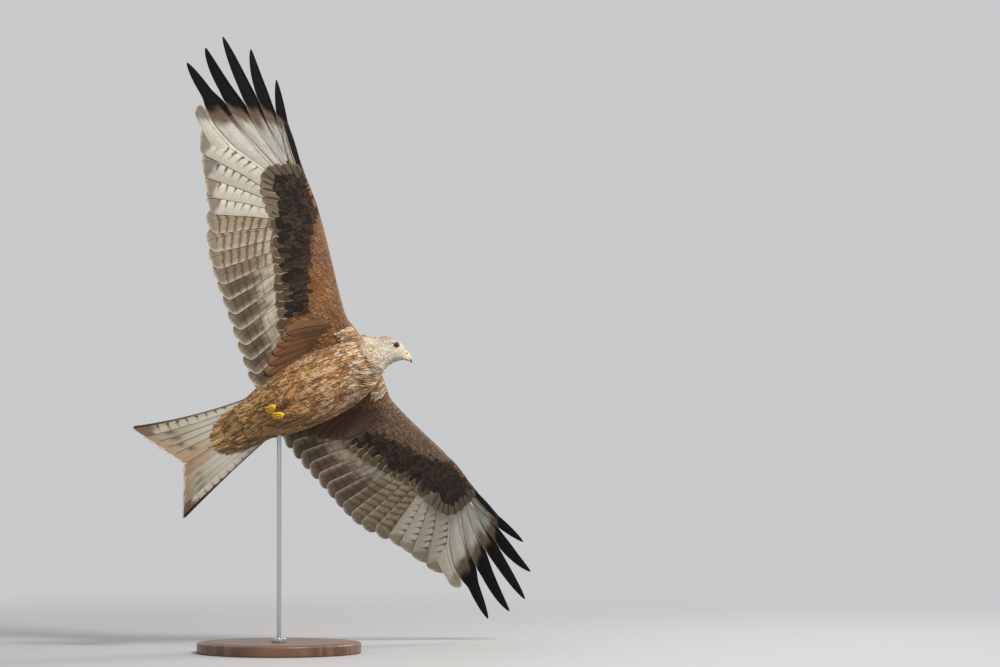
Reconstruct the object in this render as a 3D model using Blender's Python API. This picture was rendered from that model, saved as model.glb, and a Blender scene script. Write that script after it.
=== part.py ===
"""A red kite gliding in a banked turn, life size, held by a plain display stand.

The bird is modelled in its own frame, f forward, l to one side and u towards its back, and placed by one
rotation and one height. Both wings and both tail halves are the same shape on either side.
The world frame has +Z up and its origin under the centre of the stand's base. Lengths are in metres.
"""

import math

import bmesh
import bpy
import numpy as np
from mathutils import Matrix, Vector

# ---------------------------------------------------------------- driving dimensions
GAP = 0.0003                      # clearance between neighbouring pieces
CUT_GAP = 0.0005                  # clearance across a cut through the body

CLIMB = math.radians(27.75)       # rise of the body's axis above the floor
BANK = math.radians(24.0)         # roll that lowers the left wing and turns it away
BODY_HEIGHT = 0.549               # height of the body's origin, at the vent, above the floor
BODY_X = -0.009                   # the body's origin from the stand's centre

HALF_SPAN = 0.80
WING_RISE = 0.148                 # height of the wingtips over the shoulders
FACE_SIDES = 20                   # points around each section of the body

# ---------------------------------------------------------------- frames
FORWARD = np.array([math.cos(CLIMB), 0.0, math.sin(CLIMB)])
LEVEL_LEFT = np.array([math.sin(CLIMB), 0.0, -math.cos(CLIMB)])
LEFT = LEVEL_LEFT * math.cos(BANK) + np.array([0.0, math.sin(BANK), 0.0])
UP = np.array([0.0, math.cos(BANK), 0.0]) - LEVEL_LEFT * math.sin(BANK)
BODY_ORIGIN = np.array([BODY_X, 0.0, BODY_HEIGHT])
EYE = np.array([0.2642, 0.012, 0.6928])   # midway between the two eyes


def bird(f, l, u):
    """World point of a point in the bird's own frame."""
    return BODY_ORIGIN + f * FORWARD + l * LEFT + u * UP


def by_eye(x, z, y=0.0):
    """World point from the middle of the eyes: x towards the bill, z up, y to the far side."""
    return EYE + np.array([x, y, z])


def smooth(knots, values, x):
    """Cubic curve through the values at the knots, with slopes taken from each knot's neighbours."""
    knots = np.asarray(knots, float)
    values = np.asarray(values, float)
    slopes = np.gradient(values, knots, axis=0)
    i = int(np.clip(np.searchsorted(knots, x) - 1, 0, len(knots) - 2))
    h = knots[i + 1] - knots[i]
    t = (x - knots[i]) / h
    rise = (3 - 2 * t) * t * t
    start = values[i] * (1 - rise) + values[i + 1] * rise
    return start + h * t * (1 - t) * (slopes[i] * (1 - t) - slopes[i + 1] * t)


def ease(x):
    """0 below 0, 1 above 1, and a smooth step between."""
    x = min(max(x, 0.0), 1.0)
    return x * x * (3 - 2 * x)


# ---------------------------------------------------------------- meshes and materials
def material(name, color, roughness, metallic=0.0):
    found = bpy.data.materials.get(name)
    if found:
        return found
    made = bpy.data.materials.new(name)
    made.use_nodes = True
    shader = made.node_tree.nodes["Principled BSDF"]
    shader.inputs["Base Color"].default_value = (*color, 1.0)
    shader.inputs["Roughness"].default_value = roughness
    shader.inputs["Metallic"].default_value = metallic
    return made


RUFOUS = ("plumage_rufous", (0.36, 0.16, 0.06), 0.85)
BROWN = ("plumage_brown", (0.10, 0.06, 0.04), 0.85)
BLACK = ("plumage_black", (0.02, 0.018, 0.018), 0.7)
PALE = ("plumage_pale", (0.60, 0.56, 0.48), 0.85)
TAIL_COLOR = ("plumage_tail", (0.55, 0.33, 0.18), 0.8)
HORN = ("bill_horn", (0.12, 0.11, 0.11), 0.35)
YELLOW = ("skin_yellow", (0.80, 0.52, 0.03), 0.45)
CLAW = ("claw_black", (0.015, 0.014, 0.014), 0.3)
IRIS = ("eye_amber", (0.20, 0.12, 0.03), 0.08)
WOOD = ("stand_wood", (0.05, 0.028, 0.018), 0.45)
STEEL = ("stand_steel", (0.55, 0.55, 0.56), 0.3, 0.9)


def add_object(name, mesh_data, finish):
    obj = bpy.data.objects.new(name, mesh_data)
    bpy.context.scene.collection.objects.link(obj)
    mesh_data.materials.append(material(*finish))
    mesh_data.shade_smooth()
    mesh_data.set_sharp_from_angle(angle=math.radians(40))
    return obj


def loft(name, rings, finish, thin=False):
    """Closed body through rings of equal point counts, its ends closed with fans, or strips if it is thin."""
    shape = bmesh.new()
    rows = [[shape.verts.new(Vector(p)) for p in ring] for ring in rings]
    count = len(rows[0])
    for row, after in zip(rows[:-1], rows[1:]):
        for i in range(count):
            j = (i + 1) % count
            shape.faces.new((row[i], row[j], after[j], after[i]))
    for row in (rows[0], rows[-1]):
        if thin:
            for i in range(count // 2 - 1):
                shape.faces.new((row[i], row[i + 1], row[count - 2 - i], row[count - 1 - i]))
            continue
        middle = shape.verts.new(sum((v.co for v in row), Vector()) / count)
        for i in range(count):
            shape.faces.new((row[i], row[(i + 1) % count], middle))
    bmesh.ops.recalc_face_normals(shape, faces=shape.faces)
    if shape.calc_volume(signed=True) < 0:
        bmesh.ops.reverse_faces(shape, faces=shape.faces)
    bmesh.ops.triangulate(shape, faces=shape.faces)
    mesh_data = bpy.data.meshes.new(name)
    shape.to_mesh(mesh_data)
    shape.free()
    return add_object(name, mesh_data, finish)


def as_cutter(obj):
    obj.hide_render = True
    obj.display_type = "WIRE"
    return obj


def boolean(obj, other, operation="DIFFERENCE"):
    modifier = obj.modifiers.new(operation.lower(), "BOOLEAN")
    modifier.operation = operation
    modifier.solver = "EXACT"
    modifier.object = other


def slab(upper, lower):
    """One ring of a thin shape: its upper points one way and its lower points back."""
    return list(upper) + list(reversed(lower))


# ---------------------------------------------------------------- trunk, neck and head
ROUNDNESS = 2.25                  # exponent of the sections, 2 being an ellipse

# f, half width, back height, belly depth
TRUNK_SECTIONS = (
    (-0.040, 0.056, 0.030, 0.030),
    (-0.010, 0.063, 0.040, 0.041),
    (0.030, 0.071, 0.049, 0.052),
    (0.080, 0.0765, 0.055, 0.060),
    (0.130, 0.078, 0.056, 0.063),
    (0.180, 0.073, 0.053, 0.060),
    (0.215, 0.066, 0.049, 0.055),
)
# from the eye: upper edge x and z, lower edge x and z, half width, roll still left of the body's bank
HEAD_SECTIONS = (
    (-0.0774, 0.0239, -0.0310, -0.0705, 0.0470, 0.62),
    (-0.0684, 0.0205, -0.0272, -0.0583, 0.0405, 0.35),
    (-0.0560, 0.0189, -0.0223, -0.0484, 0.0345, 0.15),
    (-0.0414, 0.0182, -0.0144, -0.0432, 0.0300, 0.0),
    (-0.0248, 0.0194, -0.0054, -0.0380, 0.0270, 0.0),
    (-0.0131, 0.0178, 0.0014, -0.0362, 0.0252, 0.0),
    (-0.0023, 0.0119, 0.0070, -0.0344, 0.0225, 0.0),
    (0.0074, 0.0054, 0.0115, -0.0338, 0.0180, 0.0),
    (0.0155, -0.0032, 0.0162, -0.0333, 0.0128, 0.0),
    (0.0209, -0.0121, 0.0184, -0.0328, 0.0090, 0.0),
)
NECK_START = 6.35                 # section numbers where the body is parted
NECK_END = 10.0
RING_STEP_TRUNK = 0.5
RING_STEP_HEAD = 0.75


def body_sections():
    """Centre, side, near and far vectors of each section, from the tail's root to the face."""
    rows = []
    for f, half_width, back, belly in TRUNK_SECTIONS:
        rows.append((bird(f, 0.0, 0.0), -LEFT * half_width, -UP * belly, UP * back))
    for top_x, top_z, low_x, low_z, half_width, roll in HEAD_SECTIONS:
        top, low = by_eye(top_x, top_z), by_eye(low_x, low_z)
        angle = roll * BANK
        side = (top - low) / 2
        across = np.array([0.0, -half_width, 0.0])
        turned = side * math.cos(angle) + across * math.sin(angle)
        near = across * math.cos(angle) - side / np.linalg.norm(side) * half_width * math.sin(angle)
        rows.append(((top + low) / 2, turned, near, -near))
    return np.array(rows)


SECTIONS = body_sections()


def body_ring(number, swell=0.0):
    """Points around the body at a section number, moved out by swell."""
    centre, side, near, far = smooth(np.arange(len(SECTIONS)), SECTIONS, number)
    points = []
    for k in range(FACE_SIDES):
        angle = 2 * math.pi * k / FACE_SIDES
        c, s = math.cos(angle), math.sin(angle)
        c = math.copysign(abs(c) ** (2 / ROUNDNESS), c)
        s = math.copysign(abs(s) ** (2 / ROUNDNESS), s)
        out = side * c + (near if s > 0 else far) * abs(s)
        points.append(centre + out * (1 + swell / np.linalg.norm(out)))
    return points


def numbers(start, end, step):
    return np.linspace(start, end, max(2, int(round((end - start) / step)) + 1))


def cut_after(number):
    """Section number just past a cut, so that the two cut faces stay CUT_GAP apart."""
    here = smooth(np.arange(len(SECTIONS)), SECTIONS, number)[0]
    there = smooth(np.arange(len(SECTIONS)), SECTIONS, number + 0.01)[0]
    return number + 0.01 * 1.6 * CUT_GAP / np.linalg.norm(there - here)


def make_body():
    last = len(SECTIONS) - 1
    trunk = loft("trunk", [body_ring(n) for n in numbers(0, NECK_START, RING_STEP_TRUNK)], RUFOUS)
    neck_range = numbers(cut_after(NECK_START), NECK_END, RING_STEP_HEAD)
    loft("neck", [body_ring(n) for n in neck_range], RUFOUS)
    head_range = numbers(cut_after(NECK_END), last, RING_STEP_HEAD)
    head = loft("head", [body_ring(n) for n in head_range], PALE)
    cutter_range = [*numbers(0, NECK_START, RING_STEP_TRUNK), *neck_range[1:]]
    swollen = loft("body_cutter", [body_ring(n, 1.6 * CUT_GAP) for n in cutter_range], RUFOUS)
    return trunk, head, as_cutter(swollen)


# ---------------------------------------------------------------- bill and eyes
# upper edge x and z, cutting edge x and z, half width
UPPER_BILL = (
    (0.0214, -0.0125, 0.0192, -0.0286, 0.0076),
    (0.0250, -0.0160, 0.0220, -0.0303, 0.0068),
    (0.0279, -0.0182, 0.0245, -0.0320, 0.0060),
    (0.0306, -0.0236, 0.0268, -0.0336, 0.0052),
    (0.0333, -0.0290, 0.0290, -0.0354, 0.0040),
    (0.0351, -0.0349, 0.0308, -0.0375, 0.0027),
    (0.0349, -0.0385, 0.0320, -0.0392, 0.0016),
    (0.0334, -0.0412, 0.0326, -0.0411, 0.0006),
)
# cutting edge x and z, lower edge x and z, half width
LOWER_BILL = (
    (0.0189, -0.0292, 0.0188, -0.0332, 0.0070),
    (0.0218, -0.0310, 0.0218, -0.0349, 0.0060),
    (0.0243, -0.0327, 0.0246, -0.0359, 0.0047),
    (0.0262, -0.0341, 0.0267, -0.0365, 0.0032),
    (0.0279, -0.0354, 0.0282, -0.0367, 0.0016),
)
BILL_SIDES = 9
EYE_RADIUS = 0.0068
EYE_SIDE = 0.0156                 # from the head's middle plane to an eye's centre


def half_round(edge_x, edge_z, crest_x, crest_z, half_width):
    """A D-shaped ring: flat along the cutting edge and round over the crest."""
    edge, crest = by_eye(edge_x, edge_z), by_eye(crest_x, crest_z)
    points = []
    for k in range(BILL_SIDES):
        angle = math.pi * k / (BILL_SIDES - 1)
        across = np.array([0.0, half_width * math.cos(angle), 0.0])
        points.append(edge + (crest - edge) * math.sin(angle) ** 0.8 + across)
    return points


def make_bill_and_eyes(head):
    upper = [half_round(ex, ez, cx, cz, w) for cx, cz, ex, ez, w in UPPER_BILL]
    loft("bill_upper", upper, HORN)
    lower = [half_round(ex, ez, cx, cz, w) for ex, ez, cx, cz, w in LOWER_BILL]
    loft("bill_lower", lower, HORN)
    for name, side in (("eye_right", -1), ("eye_left", 1)):
        place = Vector(by_eye(0.0, 0.0, side * EYE_SIDE))
        sphere(name, EYE_RADIUS, place)
        socket = sphere(name + "_socket", EYE_RADIUS + CUT_GAP, place)
        boolean(head, as_cutter(socket))


def sphere(name, radius, place):
    shape = bmesh.new()
    bmesh.ops.create_uvsphere(shape, u_segments=12, v_segments=8, radius=radius)
    bmesh.ops.rotate(shape, verts=shape.verts, matrix=Matrix.Rotation(math.pi / 2, 3, "X"))
    mesh_data = bpy.data.meshes.new(name)
    shape.to_mesh(mesh_data)
    shape.free()
    obj = add_object(name, mesh_data, IRIS)
    obj.location = place
    return obj


# ---------------------------------------------------------------- wings
# l and f along the leading edge, and along the trailing edge through the feather tips
LEADING_L = (0.040, 0.063, 0.085, 0.113, 0.146, 0.225, 0.312, 0.370, 0.430, 0.490, 0.550)
LEADING_F = (0.254, 0.2495, 0.2440, 0.2410, 0.2465, 0.266, 0.2885, 0.300, 0.3075, 0.3165, 0.3275)
TRAILING_L = (0.040, 0.079, 0.150, 0.254, 0.331, 0.399, 0.440, 0.480, 0.560, 0.610, 0.640)
TRAILING_F = (-0.018, -0.014, -0.005, 0.012, 0.0235, 0.042, 0.064, 0.086, 0.117, 0.138, 0.146)

SECONDARY_TIPS = np.linspace(0.079, 0.440, 11)
INNER_PRIMARY_TIPS = np.array([0.480, 0.516, 0.560, 0.610])
SCALLOP = 0.0055                  # depth of the notches between feather tips
WRIST_LEADING_L = 0.324
WRIST_TRAILING_L = 0.460
HAND_LEADING_L = 0.550
HAND_TRAILING_L = 0.640
ROOT_L = 0.040

# the notches between the spread primaries, f and l, from the leading edge to primary 5
FINGER_NOTCHES = (
    (0.3275, 0.550), (0.3140, 0.580), (0.2930, 0.612), (0.2630, 0.625),
    (0.2260, 0.648), (0.1815, 0.655), (0.1520, 0.640),
)
# primary number, middle f and l, tip f and l, width, droop of the tip
FINGERS = (
    (10, 0.3340, 0.605, 0.3500, 0.649, 0.0220, 0.004),
    (9, 0.3140, 0.672, 0.3320, 0.735, 0.0285, -0.004),
    (8, 0.2830, 0.714, 0.2900, 0.792, 0.0285, 0.000),
    (7, 0.2395, 0.7245, 0.2450, 0.793, 0.0300, 0.016),
    (6, 0.1965, 0.7245, 0.1930, 0.783, 0.0280, 0.018),
    (5, 0.1660, 0.664, 0.1640, 0.678, 0.0290, 0.004),
)
FINGER_THICKNESS = 0.0024
FINGER_EDGE = 0.0008
FINGER_RINGS = 7

ARM_ROOT_THICKNESS = 0.031
WRIST_THICKNESS = 0.0170
HAND_END_THICKNESS = 0.0030
FLESH_CHORD = 0.45                # share of the chord that holds flesh and bone
BLADE_THICKNESS = 0.0030          # of the feathers behind it
TRAILING_THICKNESS = 0.0012
CAMBER_ROOT = 0.014
CAMBER_TIP = 0.003
ARM_CHORD_STEPS = (0.0, 0.06, 0.15, 0.26, 0.38, 0.50, 0.72, 1.0)
HAND_CHORD_STEPS = (0.0, 0.03, 0.06, 0.105, 0.15, 0.205, 0.26, 0.38, 0.50, 0.61, 0.72, 0.86, 1.0)
ROWS_PER_FINGER = 2


def wing_rise(l):
    return WING_RISE * (1 - math.cos(math.pi * min(abs(l), HALF_SPAN) / HALF_SPAN)) / 2


def trailing_f(l, notch):
    return float(smooth(TRAILING_L, TRAILING_F, l)) + (SCALLOP if notch else 0.0)


def leading_l(l):
    """Where the column that ends at l on the trailing edge starts on the leading edge."""
    if l <= WRIST_TRAILING_L:
        share = (l - ROOT_L) / (WRIST_TRAILING_L - ROOT_L)
        return ROOT_L + share * (WRIST_LEADING_L - ROOT_L)
    share = (l - WRIST_TRAILING_L) / (HAND_TRAILING_L - WRIST_TRAILING_L)
    return WRIST_LEADING_L + share * (HAND_LEADING_L - WRIST_LEADING_L)


def thickness(start_l, c):
    """Wing thickness at a share c of the chord, for the column that starts at start_l."""
    fullest = float(np.interp(
        start_l, (ROOT_L, WRIST_LEADING_L, HAND_LEADING_L),
        (ARM_ROOT_THICKNESS, WRIST_THICKNESS, HAND_END_THICKNESS),
    ))
    x = min(c / FLESH_CHORD, 1.0)
    flesh = 2.8 * math.sqrt(x) * (1 - x) ** 1.2 * max(fullest - BLADE_THICKNESS, 0.0)
    return flesh + BLADE_THICKNESS + (TRAILING_THICKNESS - BLADE_THICKNESS) * c


def wing_height(l, c):
    """Height of the wing's middle surface."""
    camber = CAMBER_ROOT + (CAMBER_TIP - CAMBER_ROOT) * min(l / HAND_TRAILING_L, 1.0)
    return wing_rise(l) + camber * 4 * c * (1 - c) ** 1.5


def column(side, start_l, f_end, l_end, steps, bulge=None, shift=0.0):
    """One ring across the wing, from the leading edge over the top to the trailing edge and back below."""
    f_start = float(smooth(LEADING_L, LEADING_F, start_l))
    upper, lower = [], []
    for k, c in enumerate(steps):
        f = f_start + (f_end - f_start) * c
        l = start_l + (l_end - start_l) * c + shift
        if bulge is not None:
            f, l = f + bulge[k][0], l + bulge[k][1]
        middle = wing_height(l, c)
        half = thickness(start_l, c) / 2
        upper.append(bird(f, side * l, middle + 1.1 * half))
        lower.append(bird(f, side * l, middle - 0.9 * half))
    return slab(upper, lower)


def finger_roots():
    """Points along the line where the spread primaries leave the hand, ROWS_PER_FINGER to each."""
    points = []
    for a, b in zip(FINGER_NOTCHES[:-1], FINGER_NOTCHES[1:]):
        for k in range(ROWS_PER_FINGER):
            share = k / ROWS_PER_FINGER
            points.append((a[0] + (b[0] - a[0]) * share, a[1] + (b[1] - a[1]) * share))
    return np.array(points + [FINGER_NOTCHES[-1]])


def make_arm(side, name, cutter):
    tips = list(SECONDARY_TIPS)
    notches = [(a + b) / 2 for a, b in zip(tips[:-1], tips[1:])]
    ends = [(ROOT_L, False), (ROOT_L + 0.02, True)]
    for i, tip in enumerate(tips):
        ends.append((tip, False))
        ends.append((notches[i] if i < len(notches) else WRIST_TRAILING_L, True))
    rings = []
    for l, notch in ends:
        rings.append(column(side, leading_l(l), trailing_f(l, notch), l, ARM_CHORD_STEPS))
    arm = loft(f"wing_{name}_arm", rings, BROWN, thin=True)
    boolean(arm, cutter)


def make_hand(side, name):
    tips = list(INNER_PRIMARY_TIPS)
    notches = [(a + b) / 2 for a, b in zip(tips[:-1], tips[1:])]
    ends = [(WRIST_TRAILING_L, True)]
    for i, tip in enumerate(tips):
        ends.append((tip, False))
        ends.append((notches[i] if i < len(notches) else HAND_TRAILING_L, True))
    steps = np.array(HAND_CHORD_STEPS)
    first, last = np.array(FINGER_NOTCHES[0]), np.array(FINGER_NOTCHES[-1])
    full_bulge = finger_roots() - (first + np.outer(steps, last - first))
    rings = []
    for number, (l, notch) in enumerate(ends):
        share = number / (len(ends) - 1)
        bulge = full_bulge * share ** 1.6
        f_end = last[0] if number == len(ends) - 1 else trailing_f(l, notch)
        shift = CUT_GAP if number == 0 else 0.0
        rings.append(column(side, leading_l(l), f_end, l, steps, bulge, shift))
    loft(f"wing_{name}_hand", rings, BROWN, thin=True)


def make_finger(side, name, index):
    """One spread primary: a thin tapering blade from its root between two notches."""
    number, mid_f, mid_l, tip_f, tip_l, width, droop = FINGERS[index]
    ahead, behind = np.array(FINGER_NOTCHES[index]), np.array(FINGER_NOTCHES[index + 1])
    root = (ahead + behind) / 2
    middle, tip = np.array([mid_f, mid_l]), np.array([tip_f, tip_l])
    root_half = (ahead - behind) / 2
    root_half *= 1 - 2 * CUT_GAP / np.linalg.norm(root_half)
    bend = 2 * middle - (root + tip) / 2
    outward = np.array([-root_half[1], root_half[0]])
    outward *= math.copysign(1.6 * CUT_GAP, outward @ (tip - root)) / np.linalg.norm(outward)
    rings = []
    for k in range(FINGER_RINGS + 1):
        t = 0.985 * math.sin(0.5 * math.pi * k / FINGER_RINGS)
        centre = (1 - t) ** 2 * root + 2 * t * (1 - t) * bend + t * t * tip + outward * (1 - t)
        along = 2 * (1 - t) * (bend - root) + 2 * t * (tip - bend)
        normal = np.array([along[1], -along[0]]) / np.linalg.norm(along)
        normal *= math.copysign(width / 2, normal @ root_half)
        half = root_half + (normal - root_half) * ease(t / 0.30)
        half = half * (1 - t ** 2.2) ** 0.6
        thick = FINGER_THICKNESS * (1 - 0.5 * t)
        upper, lower = [], []
        for x in (1.0, 0.45, -0.1, -1.0):
            f, l = centre + half * x
            u = wing_height(l, 1.0) - droop * t * t
            deep = FINGER_EDGE + (thick - FINGER_EDGE) * (1 - x * x)
            upper.append(bird(f, side * l, u + deep / 2))
            lower.append(bird(f, side * l, u - deep / 2))
        rings.append(slab(upper, lower))
    loft(f"wing_{name}_primary_{number}", rings, BLACK, thin=True)


ALULA_START_L = 0.345
ALULA_END_L = 0.435
ALULA_WIDTH = 0.018
ALULA_THICKNESS = 0.0016
ALULA_RINGS = 5
ALULA_POINTS = 4                  # across it
HAND_CHORD = 0.205                # along f, where the alula lies
HAND_SWEEP = 0.13                 # and along l


def hand_top(l, behind):
    """Height of the hand's upper surface at a distance behind its leading edge."""
    heights = []
    for c in HAND_CHORD_STEPS:
        heights.append(wing_height(l, c) + 0.55 * thickness(l - HAND_SWEEP * c, c))
    return float(np.interp(behind / HAND_CHORD, HAND_CHORD_STEPS, heights))


def make_alula(side, name):
    """The short feathers of the thumb, lying on the top of the hand along its leading edge."""
    rings = []
    for k in range(ALULA_RINGS + 1):
        t = k / ALULA_RINGS
        l = ALULA_START_L + (ALULA_END_L - ALULA_START_L) * t
        width = ALULA_WIDTH * math.sqrt(max(1 - (2 * t - 0.9) ** 2 / 1.3, 0.0)) + 0.001
        edge = float(smooth(LEADING_L, LEADING_F, l))
        upper, lower = [], []
        for behind in np.linspace(0.003, 0.003 + width, ALULA_POINTS):
            bottom = hand_top(l, behind) + 2 * GAP
            upper.append(bird(edge - behind, side * l, bottom + ALULA_THICKNESS))
            lower.append(bird(edge - behind, side * l, bottom))
        rings.append(slab(upper, lower))
    loft(f"wing_{name}_alula", rings, BROWN, thin=True)


def make_wing(side, name, cutter):
    make_arm(side, name, cutter)
    make_hand(side, name)
    make_alula(side, name)
    for index in range(len(FINGERS)):
        make_finger(side, name, index)


# ---------------------------------------------------------------- tail
TAIL_ROOT_F = -0.0408
TAIL_ROOT_HALF = 0.0555
TAIL_NOTCH_F = -0.237
TAIL_TIP_F = -0.303
TAIL_TIP_L = 0.132
TAIL_BOW = -0.006                 # the outer edge's bend towards the middle
TAIL_KEEL = 0.030                 # depth of the middle below the outer edges at the notch
TAIL_SAG = 0.008
TAIL_FEATHERS = 6                 # in each half
TAIL_SERRATION = 0.004
TAIL_THICKNESS = 0.0036
TAIL_RINGS = 4
COVERT_LENGTH = 0.101
COVERT_RINGS = 7
COVERT_POINTS = 9


def tail_height(f, l):
    """Height of the tail's middle surface: two planes that meet in a shallow keel."""
    ramp = min(max((TAIL_ROOT_F - f) / (TAIL_ROOT_F - TAIL_NOTCH_F), 0.0), 1.4)
    return -(TAIL_KEEL * (1 - abs(l) / TAIL_TIP_L) + TAIL_SAG) * ramp


def tail_thickness(f):
    share = (TAIL_ROOT_F - f) / (TAIL_ROOT_F - TAIL_TIP_F)
    return TAIL_THICKNESS + (TRAILING_THICKNESS - TAIL_THICKNESS) * min(max(share, 0.0), 1.0)


def make_tail_half(side, name):
    rings = []
    count = 2 * TAIL_FEATHERS
    for k in range(TAIL_RINGS + 1):
        p = k / TAIL_RINGS
        upper, lower = [], []
        for i in range(count + 1):
            q = i / count
            notch = TAIL_SERRATION * (i % 2 == 0) * (0 < i < count)
            end_f = TAIL_NOTCH_F + (TAIL_TIP_F - TAIL_NOTCH_F) * q + notch
            f = TAIL_ROOT_F + (end_f - TAIL_ROOT_F) * p
            l = q * (TAIL_ROOT_HALF + (TAIL_TIP_L - TAIL_ROOT_HALF) * p + TAIL_BOW * 4 * p * (1 - p))
            l = max(l, GAP)
            half = tail_thickness(f) / 2
            upper.append(bird(f, side * l, tail_height(f, l) + half))
            lower.append(bird(f, side * l, tail_height(f, l) - half))
        rings.append(slab(upper, lower))
    loft(f"tail_{name}", rings, TAIL_COLOR, thin=True)


def make_tail_coverts(name, direction, depth, finish):
    """The soft wedge over or under the tail's root, direction being 1 above it and -1 below."""
    rings = []
    for k in range(COVERT_RINGS + 1):
        x = 0.97 * math.sin(0.5 * math.pi * k / COVERT_RINGS)
        f = TAIL_ROOT_F - COVERT_LENGTH * x
        half_width = TAIL_ROOT_HALF * math.sqrt(1 - x ** 2.4)
        deep = depth * (1 - x) ** 1.1
        near, far = [], []
        for i in range(COVERT_POINTS):
            y = -1 + 2 * i / (COVERT_POINTS - 1)
            l = half_width * y
            face = tail_height(f, l) + direction * (tail_thickness(f) / 2 + 2.5 * GAP)
            swell = max(deep * math.sqrt(1 - y * y), 0.0) + 0.0009
            near.append(bird(f, l, face))
            far.append(bird(f, l, face + direction * swell))
        rings.append(slab(near, far))
    loft(name, rings, finish, thin=True)


def make_tail():
    make_tail_half(1, "left")
    make_tail_half(-1, "right")
    first = TRUNK_SECTIONS[0]
    make_tail_coverts("tail_coverts_under", -1, first[3] - 0.005, RUFOUS)
    make_tail_coverts("tail_coverts_over", 1, first[2] - 0.005, RUFOUS)


# ---------------------------------------------------------------- legs and feet
# side name: thigh f l u, ankle f l u
LEGS = {
    "left": ((0.078, 0.018, -0.046), (0.018, -0.010, -0.073)),
    "right": ((0.074, -0.050, -0.042), (0.012, -0.040, -0.070)),
}
LEG_RADII = (0.010, 0.021, 0.023, 0.019, 0.013, 0.0085)
LEG_FLATNESS = 0.72
LEG_SIDES = 12
TARSUS_RADIUS = 0.0042
TARSUS_LENGTH = 0.009
KNUCKLE_LENGTH = 0.004
TOE_RADIUS = 0.0034
TOE_TAPER = 0.74
# each toe's sideways start and slope, its reach and depth, its curl, and 1 for a toe that points back
TOES = (
    (-0.0048, -0.10, 0.0170, 0.0120, math.radians(104), 1),
    (0.0, 0.0, 0.0190, 0.0125, math.radians(102), 1),
    (0.0048, 0.10, 0.0170, 0.0120, math.radians(104), 1),
    (-0.0010, 0.0, 0.0026, 0.0075, math.radians(95), -1),
)
FOOT_TURN = {"left": -0.25, "right": 0.25}     # sideways slope of a whole foot, towards the other one
CLAW_ANGLE = math.radians(50)
CLAW_RADIUS = 0.0020
CLAW_POINT = 0.0005
CLAW_STEPS = 3
TOE_SIDES = 6
TOE_STEPS = 5


def tube(name, centres, radii, finish, sides, flat=1.0, flat_axis=None):
    """Round tube along centres; flat squeezes it along flat_axis."""
    centres = [Vector(c) for c in centres]
    rings = []
    across = None
    for i, centre in enumerate(centres):
        before, after = centres[max(i - 1, 0)], centres[min(i + 1, len(centres) - 1)]
        along = (after - before).normalized()
        if across is None:
            across = along.orthogonal().normalized()
        across = (across - along * across.dot(along)).normalized()
        other = along.cross(across)
        ring = []
        for k in range(sides):
            angle = 2 * math.pi * k / sides
            out = (across * math.cos(angle) + other * math.sin(angle)) * radii[i]
            if flat_axis is not None:
                out -= flat_axis * out.dot(flat_axis) * (1 - flat)
            ring.append(centre + out)
        rings.append(ring)
    return loft(name, rings, finish)


def make_leg(name, cutter):
    thigh, ankle = (np.array(p) for p in LEGS[name])
    steps = len(LEG_RADII)
    centres = [bird(*(thigh + (ankle - thigh) * k / (steps - 1))) for k in range(steps)]
    leg = tube(f"leg_{name}", centres, LEG_RADII, RUFOUS, LEG_SIDES, LEG_FLATNESS, Vector(UP))
    boolean(leg, cutter)


def arc(ball, lateral, slope, reach, depth, start, end, direction, steps):
    """Points of a toe's curl: it leaves the ball backwards or forwards and bends towards the belly."""
    points = []
    for k in range(steps + 1):
        angle = start + (end - start) * k / steps
        back = direction * reach * math.sin(angle)
        sideways = lateral + slope * reach * math.sin(min(angle, math.pi / 2))
        inward = depth * (1 - math.cos(angle))
        points.append(bird(ball[0] - back, ball[1] + sideways, ball[2] + inward))
    return points


def make_foot(name):
    """A clenched foot: short tarsus, three front toes and the hind toe, each with its claw."""
    ankle = np.array(LEGS[name][1])
    heading = np.array(LEGS[name][1]) - np.array(LEGS[name][0])
    heading /= np.linalg.norm(heading)
    start = ankle + heading * CUT_GAP * 1.6
    ball = start + heading * TARSUS_LENGTH
    knuckle = ball + heading * KNUCKLE_LENGTH
    centres = [bird(*start), bird(*((start + ball) / 2)), bird(*ball), bird(*knuckle)]
    radii = (TARSUS_RADIUS, TARSUS_RADIUS, TARSUS_RADIUS * 1.35, TARSUS_RADIUS * 1.1)
    foot = tube(f"foot_{name}", centres, radii, YELLOW, TOE_SIDES + 2)
    for number, (lateral, slope, reach, depth, curl, direction) in enumerate(TOES, 1):
        shape = (ball, lateral, slope + FOOT_TURN[name], reach, depth)
        centres = arc(*shape, 0.0, curl, direction, TOE_STEPS)
        radii = np.linspace(TOE_RADIUS, TOE_TAPER * TOE_RADIUS, TOE_STEPS + 1)
        toe = tube(f"toe_{name}_{number}", centres, radii, YELLOW, TOE_SIDES)
        boolean(foot, as_cutter(toe), "UNION")
        first = curl + 2.0 * CUT_GAP / depth
        centres = arc(*shape, first, first + CLAW_ANGLE, direction, CLAW_STEPS)
        radii = np.linspace(CLAW_RADIUS, CLAW_POINT, CLAW_STEPS + 1)
        tube(f"claw_{name}_{number}", centres, radii, CLAW, TOE_SIDES)


# ---------------------------------------------------------------- stand
BASE_RADIUS = 0.185
BASE_THICKNESS = 0.024
BASE_BEVEL = 0.004
ROD_RADIUS = 0.005
ROD_TOP = BODY_HEIGHT - 0.036
ROD_Y = 0.004
SOCKET_DEPTH = 0.014
COLLAR_RADIUS = 0.017
COLLAR_HEIGHT = 0.009


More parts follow.
